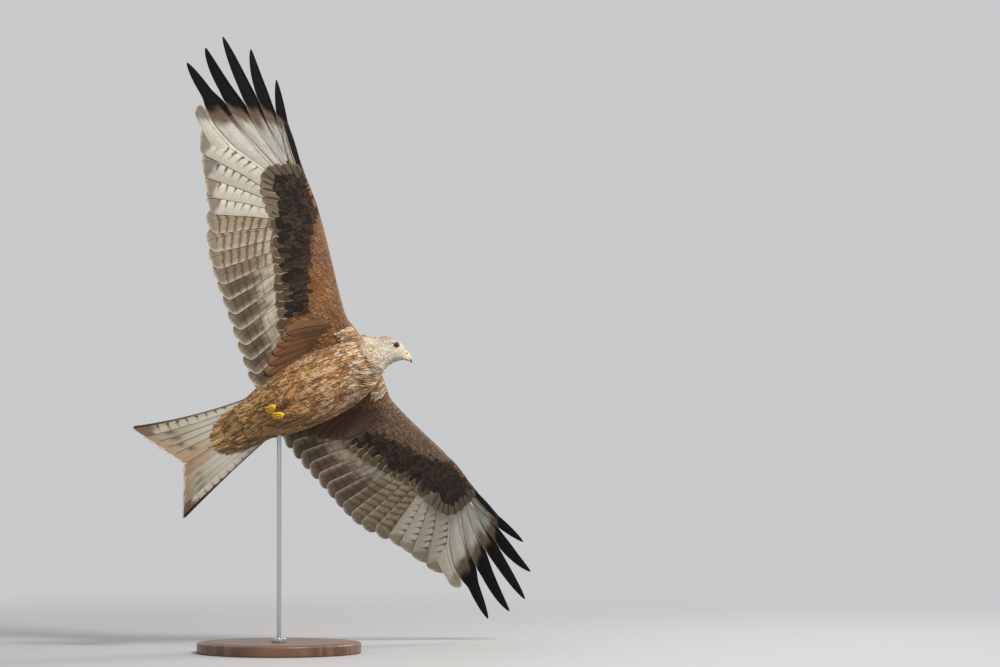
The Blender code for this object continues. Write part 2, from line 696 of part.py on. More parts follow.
def cylinder(name, radius, low, high, sides, finish, x=0.0, y=0.0):
    shape = bmesh.new()
    bmesh.ops.create_cone(
        shape, cap_ends=True, segments=sides, radius1=radius, radius2=radius, depth=high - low
    )
    mesh_data = bpy.data.meshes.new(name)
    shape.to_mesh(mesh_data)
    shape.free()
    obj = add_object(name, mesh_data, finish)
    obj.location = (x, y, (low + high) / 2)
    return obj


def bevel(obj, width):
    modifier = obj.modifiers.new("bevel", "BEVEL")
    modifier.width = width
    modifier.segments = 1
    modifier.limit_method = "ANGLE"


def make_stand(trunk):
    base = cylinder("stand_base", BASE_RADIUS, 0.0, BASE_THICKNESS, 56, WOOD)
    bevel(base, BASE_BEVEL)
    foot = BASE_THICKNESS - SOCKET_DEPTH
    cylinder("stand_rod", ROD_RADIUS, foot + GAP, ROD_TOP, 16, STEEL, 0.0, ROD_Y)
    hole = cylinder("rod_cutter", ROD_RADIUS + GAP, foot, ROD_TOP + GAP, 16, STEEL, 0.0, ROD_Y)
    as_cutter(hole)
    boolean(base, hole)
    boolean(trunk, hole)
    low, high = BASE_THICKNESS + GAP, BASE_THICKNESS + GAP + COLLAR_HEIGHT
    collar = cylinder("stand_collar", COLLAR_RADIUS, low, high, 24, STEEL, 0.0, ROD_Y)
    bevel(collar, 0.0012)
    boolean(collar, hole)


def clear_scene():
    for obj in list(bpy.data.objects):
        bpy.data.objects.remove(obj)


def main():
    clear_scene()
    trunk, head, body_cutter = make_body()
    make_bill_and_eyes(head)
    for side, name in ((1, "left"), (-1, "right")):
        make_wing(side, name, body_cutter)
        make_leg(name, body_cutter)
        make_foot(name)
    make_tail()
    make_stand(trunk)


main()
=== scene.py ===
"""Looks of the red kite: one skin over body and wings, every flight feather, coverts and contour feathers,
bill, eyes, feet and stand, all built in code in the bird's own frame and placed as the solids are."""

import math

import bmesh
import bpy
import numpy as np
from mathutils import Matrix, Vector, kdtree


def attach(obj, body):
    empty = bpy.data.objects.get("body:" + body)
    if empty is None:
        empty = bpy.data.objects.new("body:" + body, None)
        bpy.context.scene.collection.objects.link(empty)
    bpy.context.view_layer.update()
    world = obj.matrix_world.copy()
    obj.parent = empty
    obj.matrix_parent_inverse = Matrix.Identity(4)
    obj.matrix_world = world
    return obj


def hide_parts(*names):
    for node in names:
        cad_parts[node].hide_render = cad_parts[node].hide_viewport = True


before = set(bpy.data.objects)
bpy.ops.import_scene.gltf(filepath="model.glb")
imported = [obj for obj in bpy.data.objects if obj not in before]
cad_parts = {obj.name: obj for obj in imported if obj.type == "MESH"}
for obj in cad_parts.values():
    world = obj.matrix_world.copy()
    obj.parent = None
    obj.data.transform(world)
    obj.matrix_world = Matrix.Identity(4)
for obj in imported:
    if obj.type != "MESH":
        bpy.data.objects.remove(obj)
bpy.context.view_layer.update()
pi = math.pi
MM = 1000                           # millimetres in a metre
SIDES = ((1, "left"), (-1, "right"))

# ---------------------------------------------------------------- the bird's frame, as in the solids
CLIMB, BANK = math.radians(27.75), math.radians(24.0)
BODY_HEIGHT, BODY_X = 0.549, -0.009
HALF_SPAN, WING_RISE = 0.80, 0.148
FORWARD = np.array([math.cos(CLIMB), 0.0, math.sin(CLIMB)])
LEVEL_LEFT = np.array([math.sin(CLIMB), 0.0, -math.cos(CLIMB)])
LEFT = LEVEL_LEFT * math.cos(BANK) + np.array([0.0, math.sin(BANK), 0.0])
UP = np.array([0.0, math.cos(BANK), 0.0]) - LEVEL_LEFT * math.sin(BANK)
BODY_ORIGIN = np.array([BODY_X, 0.0, BODY_HEIGHT])
EYE = np.array([0.2642, 0.012, 0.6928])


def bird(f, l, u):
    """World points of points in the bird's frame; arrays of any matching shape."""
    f, l, u = np.broadcast_arrays(*(np.asarray(a, float)[..., None] for a in (f, l, u)))
    return BODY_ORIGIN + f * FORWARD + l * LEFT + u * UP


def by_eye(x, z, y=0.0):
    return EYE + np.array([x, y, z])


def smooth(knots, values, x):
    """Cubic curve through values at knots, for an array x; slopes come from the neighbours."""
    knots, values, x = (np.asarray(a, float) for a in (knots, values, x))
    slopes = np.gradient(values, knots, axis=0)
    i = np.clip(np.searchsorted(knots, x) - 1, 0, len(knots) - 2)
    h = knots[i + 1] - knots[i]
    t = (x - knots[i]) / h
    tail = (1,) * (values.ndim - 1)
    h, t = h.reshape(h.shape + tail), t.reshape(t.shape + tail)
    rise = (3 - 2 * t) * t * t
    bulge = h * t * (1 - t) * (slopes[i] * (1 - t) - slopes[i + 1] * t)
    return values[i] * (1 - rise) + values[i + 1] * rise + bulge


def ease(x):
    x = np.clip(x, 0.0, 1.0)
    return x * x * (3 - 2 * x)


def unit(v):
    return v / np.maximum(np.linalg.norm(v, axis=-1, keepdims=True), 1e-9)


def srgb(r, g, b):
    c = np.array([r, g, b], float) / 255
    return np.where(c <= 0.04045, c / 12.92, ((c + 0.055) / 1.055) ** 2.4)


def mix(a, b, t):
    t = np.asarray(t, float)[..., None]
    return a * (1 - t) + b * t


def speckle(u, v, seed):
    """Smooth random numbers from 0 to 1, one cell to each unit of u and v, repeating after 32."""
    grid = np.random.default_rng(seed).uniform(0, 1, (32, 32))
    u, v = np.broadcast_arrays(np.asarray(u, float), np.asarray(v, float))
    i, j = np.floor(u).astype(int), np.floor(v).astype(int)
    a, b = ease(u - i), ease(v - j)
    near = grid[i % 32, j % 32] * (1 - a) + grid[(i + 1) % 32, j % 32] * a
    far = grid[i % 32, (j + 1) % 32] * (1 - a) + grid[(i + 1) % 32, (j + 1) % 32] * a
    return near * (1 - b) + far * b


# ---------------------------------------------------------------- body surface
ROUNDNESS = 2.25
TAIL_ROOT_F, TAIL_ROOT_HALF = -0.0408, 0.0555
TAIL_NOTCH_F, TAIL_TIP_F, TAIL_TIP_L = -0.237, -0.303, 0.132
TAIL_BOW, TAIL_KEEL, TAIL_SAG = -0.006, 0.030, 0.008
COVERT_LENGTH = 0.101
TRUNK_SECTIONS = (
    (-0.040, 0.056, 0.030, 0.030), (-0.010, 0.063, 0.040, 0.041), (0.030, 0.071, 0.049, 0.052),
    (0.080, 0.0765, 0.055, 0.060), (0.130, 0.078, 0.056, 0.063), (0.180, 0.073, 0.053, 0.060),
    (0.215, 0.066, 0.049, 0.055),
)
HEAD_SECTIONS = (
    (-0.0774, 0.0239, -0.0310, -0.0705, 0.0470, 0.62), (-0.0684, 0.0205, -0.0272, -0.0583, 0.0405, 0.35),
    (-0.0560, 0.0189, -0.0223, -0.0484, 0.0345, 0.15), (-0.0414, 0.0182, -0.0144, -0.0432, 0.0300, 0.0),
    (-0.0248, 0.0194, -0.0054, -0.0380, 0.0270, 0.0), (-0.0131, 0.0178, 0.0014, -0.0362, 0.0252, 0.0),
    (-0.0023, 0.0119, 0.0070, -0.0344, 0.0225, 0.0), (0.0074, 0.0054, 0.0115, -0.0338, 0.0180, 0.0),
    (0.0155, -0.0032, 0.0162, -0.0333, 0.0128, 0.0), (0.0209, -0.0121, 0.0184, -0.0328, 0.0090, 0.0),
)
COVERT_STEPS = (0.95, 0.85, 0.70, 0.50, 0.28, 0.10)   # tail coverts ahead of the trunk's first section
TAIL_SECTIONS = len(COVERT_STEPS)                      # so section numbers here are the solids' plus this
HEAD_START = TAIL_SECTIONS + len(TRUNK_SECTIONS)
FACE = HEAD_START + len(HEAD_SECTIONS) - 1


def tail_height(f, l):
    ramp = np.clip((TAIL_ROOT_F - f) / (TAIL_ROOT_F - TAIL_NOTCH_F), 0.0, 1.4)
    return -(TAIL_KEEL * (1 - np.abs(l) / TAIL_TIP_L) + TAIL_SAG) * ramp


def body_sections():
    rows = []
    for x in COVERT_STEPS:
        f = TAIL_ROOT_F - COVERT_LENGTH * x
        half = TAIL_ROOT_HALF * math.sqrt(1 - x ** 2.4)
        deep = 0.027 * (1 - x) ** 1.05 + 0.0026
        centre = bird(f, 0.0, float(tail_height(f, half * 0.35)))
        rows.append((centre, -LEFT * half, -UP * deep, UP * deep))
    for f, half, back, belly in TRUNK_SECTIONS:
        rows.append((bird(f, 0.0, 0.0), -LEFT * half, -UP * belly, UP * back))
    for top_x, top_z, low_x, low_z, half, roll in HEAD_SECTIONS:
        top, low = by_eye(top_x, top_z), by_eye(low_x, low_z)
        angle = roll * BANK
        side, across = (top - low) / 2, np.array([0.0, -half, 0.0])
        turned = side * math.cos(angle) + across * math.sin(angle)
        near = across * math.cos(angle) - side / np.linalg.norm(side) * half * math.sin(angle)
        rows.append(((top + low) / 2, turned, near, -near))
    return np.array(rows)


SECTIONS = body_sections()
EYE_RADIUS, EYE_SIDE = 0.0068, 0.0156
# centre from the eyes' middle (x, y out to the side, z), radius, height of a swelling (or hollow) of the head
HEAD_RELIEF = (
    ((0.000, 0.0190, 0.0083), 0.0060, 0.0022), ((0.0095, 0.0165, -0.0030), 0.0050, -0.0012),
    ((-0.0160, 0.0240, -0.0120), 0.0110, 0.0010), ((0.0060, 0.0190, -0.0125), 0.0050, 0.0008),
)


def body_surface(n, theta, inset=0.0):
    """Points of the coat's outer surface at section numbers and angles, 0 on the right and pi / 2 below."""
    n, theta = np.broadcast_arrays(np.asarray(n, float), np.asarray(theta, float))
    part = smooth(np.arange(len(SECTIONS)), SECTIONS, n)
    centre, side, near, far = (part[..., k, :] for k in range(4))
    c, s = np.cos(theta), np.sin(theta)
    c = (np.sign(c) * np.abs(c) ** (2 / ROUNDNESS))[..., None]
    s = (np.sign(s) * np.abs(s) ** (2 / ROUNDNESS))[..., None]
    out = side * c + np.where(s > 0, near, far) * np.abs(s)
    share = np.asarray(inset, float)[..., None] / np.linalg.norm(out, axis=-1, keepdims=True)
    points = centre + out * (1 - np.minimum(share, 0.55))
    for (x, y, z), radius, height in HEAD_RELIEF:
        for y_side in (-y, y):
            away = points - by_eye(x, z, y_side)
            points = points + unit(out) * (height * np.exp(-(away ** 2).sum(-1) / radius ** 2))[..., None]
    return points


def body_frame(n, theta):
    """Point, outward normal, backward direction and metres per section number."""
    h = 0.02
    point = body_surface(n, theta)
    along = (body_surface(np.minimum(n + h, FACE), theta) - body_surface(np.maximum(n - h, 0), theta))
    per = np.linalg.norm(along, axis=-1) / (np.minimum(n + h, FACE) - np.maximum(n - h, 0))
    around = body_surface(n, theta + h) - body_surface(n, theta - h)
    normal = unit(np.cross(along, around))
    centre = smooth(np.arange(len(SECTIONS)), SECTIONS, n)[..., 0, :]
    normal *= np.sign(((point - centre) * normal).sum(-1, keepdims=True))
    return point, normal, -unit(along), per


# ---------------------------------------------------------------- wing surface
LEADING_L = (0.040, 0.063, 0.085, 0.113, 0.146, 0.225, 0.312, 0.370, 0.430, 0.490, 0.550)
LEADING_F = (0.248, 0.2480, 0.2442, 0.2410, 0.2465, 0.266, 0.2885, 0.300, 0.3075, 0.3165, 0.3275)
TRAILING_L = (0.040, 0.079, 0.150, 0.254, 0.331, 0.399, 0.440, 0.480, 0.560, 0.610, 0.640)
TRAILING_F = (-0.018, -0.014, -0.005, 0.012, 0.0235, 0.042, 0.064, 0.086, 0.117, 0.138, 0.146)
ROOT_L, WRIST_L, WRIST_END_L, HAND_L, HAND_END_L = 0.040, 0.324, 0.460, 0.550, 0.640
ROOT_THICK, WRIST_THICK, HAND_THICK, BLADE, TRAIL = 0.031, 0.0170, 0.0030, 0.0030, 0.0012
CAMBER_ROOT, CAMBER_TIP, FLESH = 0.014, 0.003, 0.45
FINGER_NOTCHES = (
    (0.3275, 0.550), (0.3140, 0.580), (0.2930, 0.612), (0.2630, 0.625),
    (0.2260, 0.648), (0.1815, 0.655), (0.1520, 0.640),
)
FINGERS = (
    (10, 0.3340, 0.605, 0.3500, 0.649, 0.0220, 0.004), (9, 0.3140, 0.672, 0.3320, 0.735, 0.0285, -0.004),
    (8, 0.2830, 0.714, 0.2900, 0.792, 0.0285, 0.000), (7, 0.2395, 0.7245, 0.2450, 0.793, 0.0300, 0.016),
    (6, 0.1965, 0.7245, 0.1930, 0.783, 0.0280, 0.018), (5, 0.1660, 0.664, 0.1640, 0.678, 0.0290, 0.004),
)


def wing_rise(l):
    return WING_RISE * (1 - np.cos(pi * np.minimum(np.abs(l), HALF_SPAN) / HALF_SPAN)) / 2


def start_of(end_l):
    """Where the chord line that ends at end_l on the trailing edge starts on the leading edge."""
    arm = ROOT_L + (end_l - ROOT_L) / (WRIST_END_L - ROOT_L) * (WRIST_L - ROOT_L)
    hand = WRIST_L + (end_l - WRIST_END_L) / (HAND_END_L - WRIST_END_L) * (HAND_L - WRIST_L)
    return np.where(end_l <= WRIST_END_L, arm, hand)


def edges_of(end_l):
    start = start_of(end_l)
    return start, smooth(LEADING_L, LEADING_F, start), smooth(TRAILING_L, TRAILING_F, end_l)


def locate(f, l):
    """Chord line (its end on the trailing edge) and share of the chord at points of the wing's plan."""
    f, l = np.broadcast_arrays(np.asarray(f, float), np.asarray(l, float))
    end = np.clip(l, ROOT_L, HAND_END_L)
    for _ in range(16):
        start, lead, trail = edges_of(end)
        c = np.clip((lead - f) / (lead - trail), 0.0, 1.15)
        end = np.clip(end + (l - start - (end - start) * c), ROOT_L - 0.03, HAND_END_L)
    return end, c


def wing_mid(f, l):
    end, c = locate(f, l)
    camber = CAMBER_ROOT + (CAMBER_TIP - CAMBER_ROOT) * np.minimum(np.abs(l) / HAND_END_L, 1.0)
    return wing_rise(l) + camber * 4 * c * np.maximum(1 - c, 0) ** 1.5


def wing_thick(f, l):
    end, c = locate(f, l)
    fullest = np.interp(start_of(end), (ROOT_L, WRIST_L, HAND_L), (ROOT_THICK, WRIST_THICK, HAND_THICK))
    x = np.clip(c / FLESH, 0.0, 1.0)
    flesh = 2.8 * np.sqrt(x) * (1 - x) ** 1.2 * np.maximum(fullest - BLADE, 0.0)
    return flesh + BLADE + (TRAIL - BLADE) * np.minimum(c, 1.0)


def wing_face(f, l, top):
    """Height of the wing's outer surface, top being 1 above and -1 below."""
    return wing_mid(f, l) + (0.55 if top > 0 else -0.45) * wing_thick(f, l)


# ---------------------------------------------------------------- mesh builder for vanes and tufts
def add_object(name, data):
    obj = bpy.data.objects.new(name, data)
    bpy.context.scene.collection.objects.link(obj)
    return obj


def add_vectors(me, key, values):
    """An attribute with one vector for each point of a mesh."""
    field = me.attributes.new(key, "FLOAT_VECTOR", "POINT")
    field.data.foreach_set("vector", values.astype(np.float32).ravel())


def sheet_mesh(name, top, bottom, data, uv):
    """One mesh of many thin closed vanes.

    top and bottom are (feathers, stations, across, 3); they meet at the first and last point across.
    data maps attribute names to vectors that fit (feathers, stations, across, 3), or to a pair of these for the
    top and the bottom.
    """
    K, N, M, _ = top.shape
    R = 2 * M - 2
    verts = np.concatenate([top, bottom[:, :, -2:0:-1]], axis=2).reshape(-1, 3)
    i, j = np.meshgrid(np.arange(N - 1), np.arange(R), indexing="ij")
    k = (j + 1) % R
    quads = np.stack([i * R + j, i * R + k, (i + 1) * R + k, (i + 1) * R + j], -1).reshape(-1, 4)
    cap = []
    for base in (0, (N - 1) * R):
        for m in range(M - 1):
            a, b = m, m + 1
            c, d = (R - b) % R if b < M - 1 else M - 1, (R - a) % R
            face = [base + a, base + d, base + c, base + b]
            face = [v for p, v in enumerate(face) if v not in face[:p]]
            cap.append(face if base == 0 else face[::-1])
    cap4 = np.array([c for c in cap if len(c) == 4], int).reshape(-1, 4)
    tri = np.array([c for c in cap if len(c) == 3], int).reshape(-1, 3)
    shift = (np.arange(K) * N * R)[:, None, None]
    q = (np.concatenate([quads, cap4])[None] + shift).reshape(-1, 4)
    t = (tri[None] + shift).reshape(-1, 3)
    me = bpy.data.meshes.new(name)
    me.vertices.add(len(verts))
    me.vertices.foreach_set("co", verts.astype(np.float32).ravel())
    loops = np.concatenate([q.ravel(), t.ravel()]).astype(np.int32)
    me.loops.add(len(loops))
    me.loops.foreach_set("vertex_index", loops)
    me.polygons.add(len(q) + len(t))
    starts = np.concatenate([np.arange(len(q)) * 4, len(q) * 4 + np.arange(len(t)) * 3]).astype(np.int32)
    me.polygons.foreach_set("loop_start", starts)
    me.polygons.foreach_set("use_smooth", np.ones(len(q) + len(t), bool))
    me.update(calc_edges=True)
    edges = np.empty(len(me.edges) * 2, np.int32)
    me.edges.foreach_get("vertices", edges)
    ring = edges.reshape(-1, 2) % R
    sharp = (ring[:, 0] == ring[:, 1]) & ((ring[:, 0] == 0) | (ring[:, 0] == M - 1))
    me.attributes.new("sharp_edge", "BOOLEAN", "EDGE").data.foreach_set("value", sharp)
    for key, value in data.items():
        faces = value if isinstance(value, tuple) else (value, value)
        upper, lower = (np.broadcast_to(face, (K, N, M, 3)) for face in faces)
        add_vectors(me, key, np.concatenate([upper, lower[:, :, -2:0:-1]], axis=2))
    uv = np.broadcast_to(uv, (K, N, M, 2))
    whole = np.concatenate([uv, uv[:, :, -2:0:-1]], axis=2).reshape(-1, 2)
    me.uv_layers.new(name="OFBake").uv.foreach_set("vector", whole[loops].astype(np.float32).ravel())
    return add_object(name, me)


def lens(centre, side, up, xs, thick, camber):
    """Top and bottom grids of tufts from centre lines, half-width vectors and normals (feathers, stations, 3).

    thick is one number and camber has one for each feather.
    """
    x = xs[None, None, :, None]
    rise = camber[:, None, None, None] * (1 - x ** 2)
    middle = centre[:, :, None] + side[:, :, None] * x + up[:, :, None] * rise
    half = up[:, :, None] * (thick / 2 * np.sqrt(np.maximum(1 - x ** 2, 0)))
    return middle + half, middle - half


# ---------------------------------------------------------------- materials
class Graph:
    """Short names for building a node tree."""

    def __init__(self, name):
        self.material = bpy.data.materials.new(name)
        self.material.use_nodes = True
        self.tree = self.material.node_tree
        self.shader = self.tree.nodes["Principled BSDF"]

    def node(self, kind, **inputs):
        made = self.tree.nodes.new(kind)
        for key, value in inputs.items():
            if key.startswith("_"):
                setattr(made, key[1:], value)
                continue
            key = int(key[1:]) if key[0] == "i" and key[1:].isdigit() else key.replace("_", " ")
            self.put(made.inputs[key], value)
        return made

    def put(self, socket, value):
        if isinstance(value, bpy.types.NodeSocket):
            self.tree.links.new(value, socket)
        elif hasattr(socket.default_value, "__len__"):
            value = tuple(float(v) for v in value)
            socket.default_value = value + (1.0,) * (len(socket.default_value) - len(value))
        else:
            socket.default_value = float(value)

    def math(self, operation, a, b=0.0, c=0.0):
        return self.node("ShaderNodeMath", _operation=operation, i0=a, i1=b, i2=c).outputs[0]

    def plus(self, a, b):
        return self.math("ADD", a, b)

    def times(self, a, b):
        return self.math("MULTIPLY", a, b)

    def place(self):
        return self.node("ShaderNodeNewGeometry").outputs["Position"]

    def attribute(self, name, output="Vector"):
        return self.node("ShaderNodeAttribute", _attribute_name=name).outputs[output]

    def split(self, vector):
        return self.node("ShaderNodeSeparateXYZ", Vector=vector).outputs

    def join(self, x, y, z):
        return self.node("ShaderNodeCombineXYZ", X=x, Y=y, Z=z).outputs[0]

    def step(self, value, low, high, to_low=0.0, to_high=1.0):
        made = self.node("ShaderNodeMapRange", _interpolation_type="SMOOTHSTEP", Value=value)
        for key, number in (("From Min", low), ("From Max", high), ("To Min", to_low), ("To Max", to_high)):
            self.put(made.inputs[key], number)
        return made.outputs[0]

    def noise(self, vector, scale, detail=2.0, roughness=0.5):
        made = self.node("ShaderNodeTexNoise", Vector=vector, Scale=scale, Detail=detail, Roughness=roughness)
        return made.outputs["Fac"]

    def blend(self, a, b, factor):
        # sockets 6, 7 and 2 are the mix node's two colours and its colour result
        return self.node("ShaderNodeMix", _data_type="RGBA", i0=factor, i6=a, i7=b).outputs[2]

    def bump(self, height, distance):
        return self.node("ShaderNodeBump", Height=height, Distance=distance, Strength=1.0).outputs[0]

    def finish(self, **inputs):
        for key, value in inputs.items():
            self.put(self.shader.inputs[key.replace("_", " ")], value)
        return self.material


BARB_SPACING_MM = 1.25


def plumage(name, roughness, gloss=0.2, sheen=0.08):
    """Feather material. Vertex attributes carry what the formulas below draw.

    lay: x across (-1..1), s from root to tip, a random number; size: half width, length and way to the edge in
    mm; ground, mark, edging: colours; code: bars' count and strength, shaft streak's half width (share of the
    vane); code2: strength of the edging, shaft's place across, strength of the shaft line.
    """
    g = Graph(name)
    x, s, chance = g.split(g.attribute("lay"))
    half, length, edge = g.split(g.attribute("size"))
    bars, bar_amount, streak = g.split(g.attribute("code"))
    edging_amount, shaft_x, shaft_amount = g.split(g.attribute("code2"))
    mm_x, mm_s = g.times(x, half), g.times(s, length)
    from_shaft = g.math("SUBTRACT", x, shaft_x)
    away = g.math("ABSOLUTE", g.times(from_shaft, half))
    seed = g.times(chance, 197.0)
    place = g.join(mm_x, g.times(mm_s, 0.45), seed)
    coarse = g.noise(place, 0.16, 2.0)
    fine = g.noise(place, 0.55, 3.0, 0.6)
    # bars across the vane, slanting towards the tip away from the shaft
    phase = g.plus(g.times(s, bars), g.times(coarse, 0.55))
    phase = g.plus(phase, g.times(chance, 0.7))
    phase = g.math("SUBTRACT", phase, g.times(g.times(away, bars), 0.0017))
    wave = g.math("SINE", g.times(phase, 2 * pi))
    # where a bar is weak it is thin, so it runs to a point
    wave = g.plus(wave, g.times(fine, 0.35))
    bar = g.step(g.plus(wave, g.times(bar_amount, 1.1)), 0.98, 2.02)
    # streak along the shaft, frayed at its sides
    frayed = g.times(streak, g.plus(0.55, g.times(fine, 0.9)))
    across = g.math("ABSOLUTE", from_shaft)
    stripe = g.step(g.math("DIVIDE", across, g.plus(frayed, 0.001)), 0.75, 1.25, 1.0, 0.0)
    stripe = g.times(stripe, g.step(streak, 0.01, 0.06))
    marked = g.blend(g.attribute("ground", "Color"), g.attribute("mark", "Color"),
                     g.math("MAXIMUM", bar, stripe))
    rim = g.times(g.step(g.plus(edge, g.times(fine, 1.2)), 1.2, 3.0, 1.0, 0.0), edging_amount)
    marked = g.blend(marked, g.attribute("edging", "Color"), rim)
    line = g.times(g.step(away, 0.25, 0.75, 1.0, 0.0), shaft_amount)
    marked = g.blend(marked, g.blend(marked, (0.05, 0.04, 0.035), 0.7), line)
    # barbs: fine lines that run out from the shaft at a slant
    barb = g.math("SUBTRACT", mm_s, g.times(away, 1.1))
    barb = g.plus(barb, g.times(fine, 1.6))
    lines = g.math("SINE", g.times(barb, 2 * pi / BARB_SPACING_MM))
    value = g.plus(0.93, g.times(lines, 0.055))
    value = g.plus(value, g.times(g.math("SUBTRACT", coarse, 0.5), 0.28))
    value = g.plus(value, g.times(g.math("SUBTRACT", chance, 0.5), 0.14))
    shade = g.node("ShaderNodeHueSaturation", Color=marked, Value=value).outputs[0]
    relief = g.plus(g.times(lines, 0.5), g.times(fine, 1.0))
    relief = g.plus(relief, g.times(g.step(away, 0.2, 1.0, 1.0, 0.0), g.times(shaft_amount, 3.0)))
    rough = g.plus(roughness, g.times(g.math("SUBTRACT", fine, 0.5), 0.12))
    return g.finish(Base_Color=shade, Roughness=rough, Normal=g.bump(relief, 0.00018),
                    Specular_IOR_Level=gloss, Sheen_Weight=sheen, Sheen_Roughness=0.5)


MATERIALS = {
    "plumage_rufous": plumage("feathers_rufous", 0.78), "plumage_brown": plumage("feathers_brown", 0.72),
    "plumage_black": plumage("feathers_black", 0.60, 0.09, 0.01), "plumage_pale": plumage("feathers_pale", 0.82),
    "plumage_tail": plumage("feathers_tail", 0.70),
}


def dress(obj, slot, *replaced):
    obj.data.materials.append(MATERIALS[slot])
    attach(obj, "root")
    if replaced:
        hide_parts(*replaced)
    return obj


def feather_data(xs, s, half, length, chance, edge_scale=1.0, edge=None):
    """lay and size attributes of a batch: s and half (feathers, stations), length and chance (feathers)."""
    s, half, length = s[:, :, None], half[:, :, None], length[:, None, None]
    if edge is None:
        edge = np.minimum(half * (1 - np.abs(xs)), (1 - s) * length)
    return {
        "lay": np.stack(np.broadcast_arrays(xs[None, None], s, chance[:, None, None]), -1),
        "size": np.stack(np.broadcast_arrays(half * MM, length * MM, edge * MM * edge_scale), -1),
    }


def code(*values):
    """An attribute of three values, each a number or an array over feathers, stations or points across."""
    values = (np.asarray(v, float) for v in values)
    return np.stack(np.broadcast_arrays(*(v.reshape(v.shape + (1,) * (3 - v.ndim)) for v in values)), -1)


# ---------------------------------------------------------------- vanes laid on a plan, for wings and tail
def quadratic(root, bend, tip, t):
    return (1 - t) ** 2 * root + 2 * t * (1 - t) * bend + t * t * tip


def bezier(root, bend, tip, s):
    return quadratic(root[:, None], bend[:, None], tip[:, None], s[None, :, None])


def stations(count, power):
    """Shares along a feather from root to tip, closer together at the tip."""
    return 1 - (1 - np.linspace(0, 1, count)) ** power


def across_points(count, share):
    """Points across a vane from -1 to 1; the larger share is, the closer they lie at the edges."""
    even = np.linspace(-1, 1, count)
    return np.sin(even * pi / 2) * share + even * (1 - share)


def blunt_end(s, start, power, least):
    """Share of the full width along vanes that close from start to their tips."""
    return np.sqrt(np.maximum(1 - np.maximum((s - start) / (1 - start), 0) ** power, least))


def across_of(path):
    """Unit vectors in the plan across a path, pointing to the leading side."""
    along = np.gradient(path, axis=1)
    along /= np.maximum(np.linalg.norm(along, axis=-1, keepdims=True), 1e-9)
    return np.stack([along[..., 1], -along[..., 0]], -1)


def plan_vanes(name, side, path, half, xs, height, out, thick, camber, tilt, lift, s, chance, colour, uv_of,
               shear=None):
    """Vanes whose points lie on a height over the plan (f, l).

    path (feathers, stations, 2), half (feathers, stations) or vectors (.., 2); out is 1 for the upper face of
    the wing or tail and -1 for the lower; lift (feathers, stations) stands off the face; tilt raises the leading
    side; shear (feathers, stations, across) moves points along the path.
    """
    if half.ndim == 2:
        vector = across_of(path) * half[..., None]
    else:
        vector, half = half, np.linalg.norm(half, axis=-1)
    place = path[:, :, None] + vector[:, :, None] * xs[None, None, :, None]
    if shear is not None:
        place = place + unit(np.gradient(path, axis=1))[:, :, None] * shear[..., None]
    f, l = place[..., 0], np.maximum(place[..., 1], 0.0)
    x = xs[None, None]
    u = height(f, l) + out * lift[:, :, None] + np.reshape(tilt, (-1, 1, 1)) * x
    u = u + np.reshape(camber, (-1, 1, 1)) * (1 - x ** 2)
    deep = np.reshape(thick, (-1, 1, 1)) if np.ndim(thick) < 2 else thick[:, :, None]
    deep = deep * np.sqrt(np.maximum(1 - x ** 2, 0)) / 2
    top, bottom = bird(f, side * l, u + deep), bird(f, side * l, u - deep)
    length = np.linalg.norm(np.diff(path, axis=1), axis=-1).sum(1)
    data = feather_data(xs, s, half, length, chance)
    data.update(colour(np.broadcast_to(s[:, :, None], f.shape), np.broadcast_to(x, f.shape)))
    return sheet_mesh(name, top, bottom, data, uv_of(path[:, 0], xs, s))


def patch_uv(u, v, xs, s):
    """A small patch of the map for each vane, at its own u and v."""
    return np.stack(np.broadcast_arrays(u[:, None, None] + 0.0015 * xs[None, None],
                                        v[:, None, None] + 0.003 * s[:, :, None]), -1)


def wing_uv(root, xs, s):
    end, c = locate(root[:, 0], root[:, 1])
    return patch_uv(0.02 + 0.95 * end / HAND_END_L, 0.02 + 0.95 * np.clip(c, 0, 1), xs, s)


def own_uv(root, xs, s):
    """Every vane has its own upright strip of the map."""
    K = len(root)
    k = (np.arange(K) + 0.5)[:, None, None] / K
    return np.stack(np.broadcast_arrays(k + 0.46 / K * xs[None, None], 0.01 + 0.98 * s[:, :, None]), -1)


# ---------------------------------------------------------------- flight feathers
# roots and tips of the secondaries from the wrist to the body, then the inner primaries, f and l
SECONDARY_TIPS = np.linspace(0.440, 0.079, 11)
INNER_TIPS = np.array([0.480, 0.516, 0.560, 0.610])
ROOTS_L = (
    (0.079, 0.118), (0.105, 0.138), (0.178, 0.196), (0.250, 0.264), (0.300, 0.295), (0.360, 0.321),
    (0.400, 0.341), (0.440, 0.365),
)
PRIMARY_ROOTS = (
    (0.232, 0.372), (0.236, 0.388), (0.240, 0.400), (0.246, 0.415), (0.252, 0.430),
    (0.260, 0.442), (0.269, 0.455), (0.279, 0.466), (0.290, 0.476), (0.300, 0.484),
)
# rear edge of the under wing's coverts
COVERT_EDGE = (
    (0.050, 0.056), (0.079, 0.062), (0.110, 0.078), (0.130, 0.087), (0.170, 0.098), (0.222, 0.120),
    (0.293, 0.153), (0.355, 0.186), (0.400, 0.198), (0.425, 0.204), (0.455, 0.211), (0.468, 0.218),
    (0.478, 0.228), (0.486, 0.248), (0.4875, 0.290), (0.489, 0.318),
)
edge_l, edge_f = np.array(COVERT_EDGE).T
NS, MS = 40, 13                     # stations along and points across a flight feather
S_STATIONS = stations(NS, 1.35)
XS_WIDE = across_points(MS, 0.6)
SPREAD_CUT = 16                     # of NS stations, those before the spread part of an outer primary


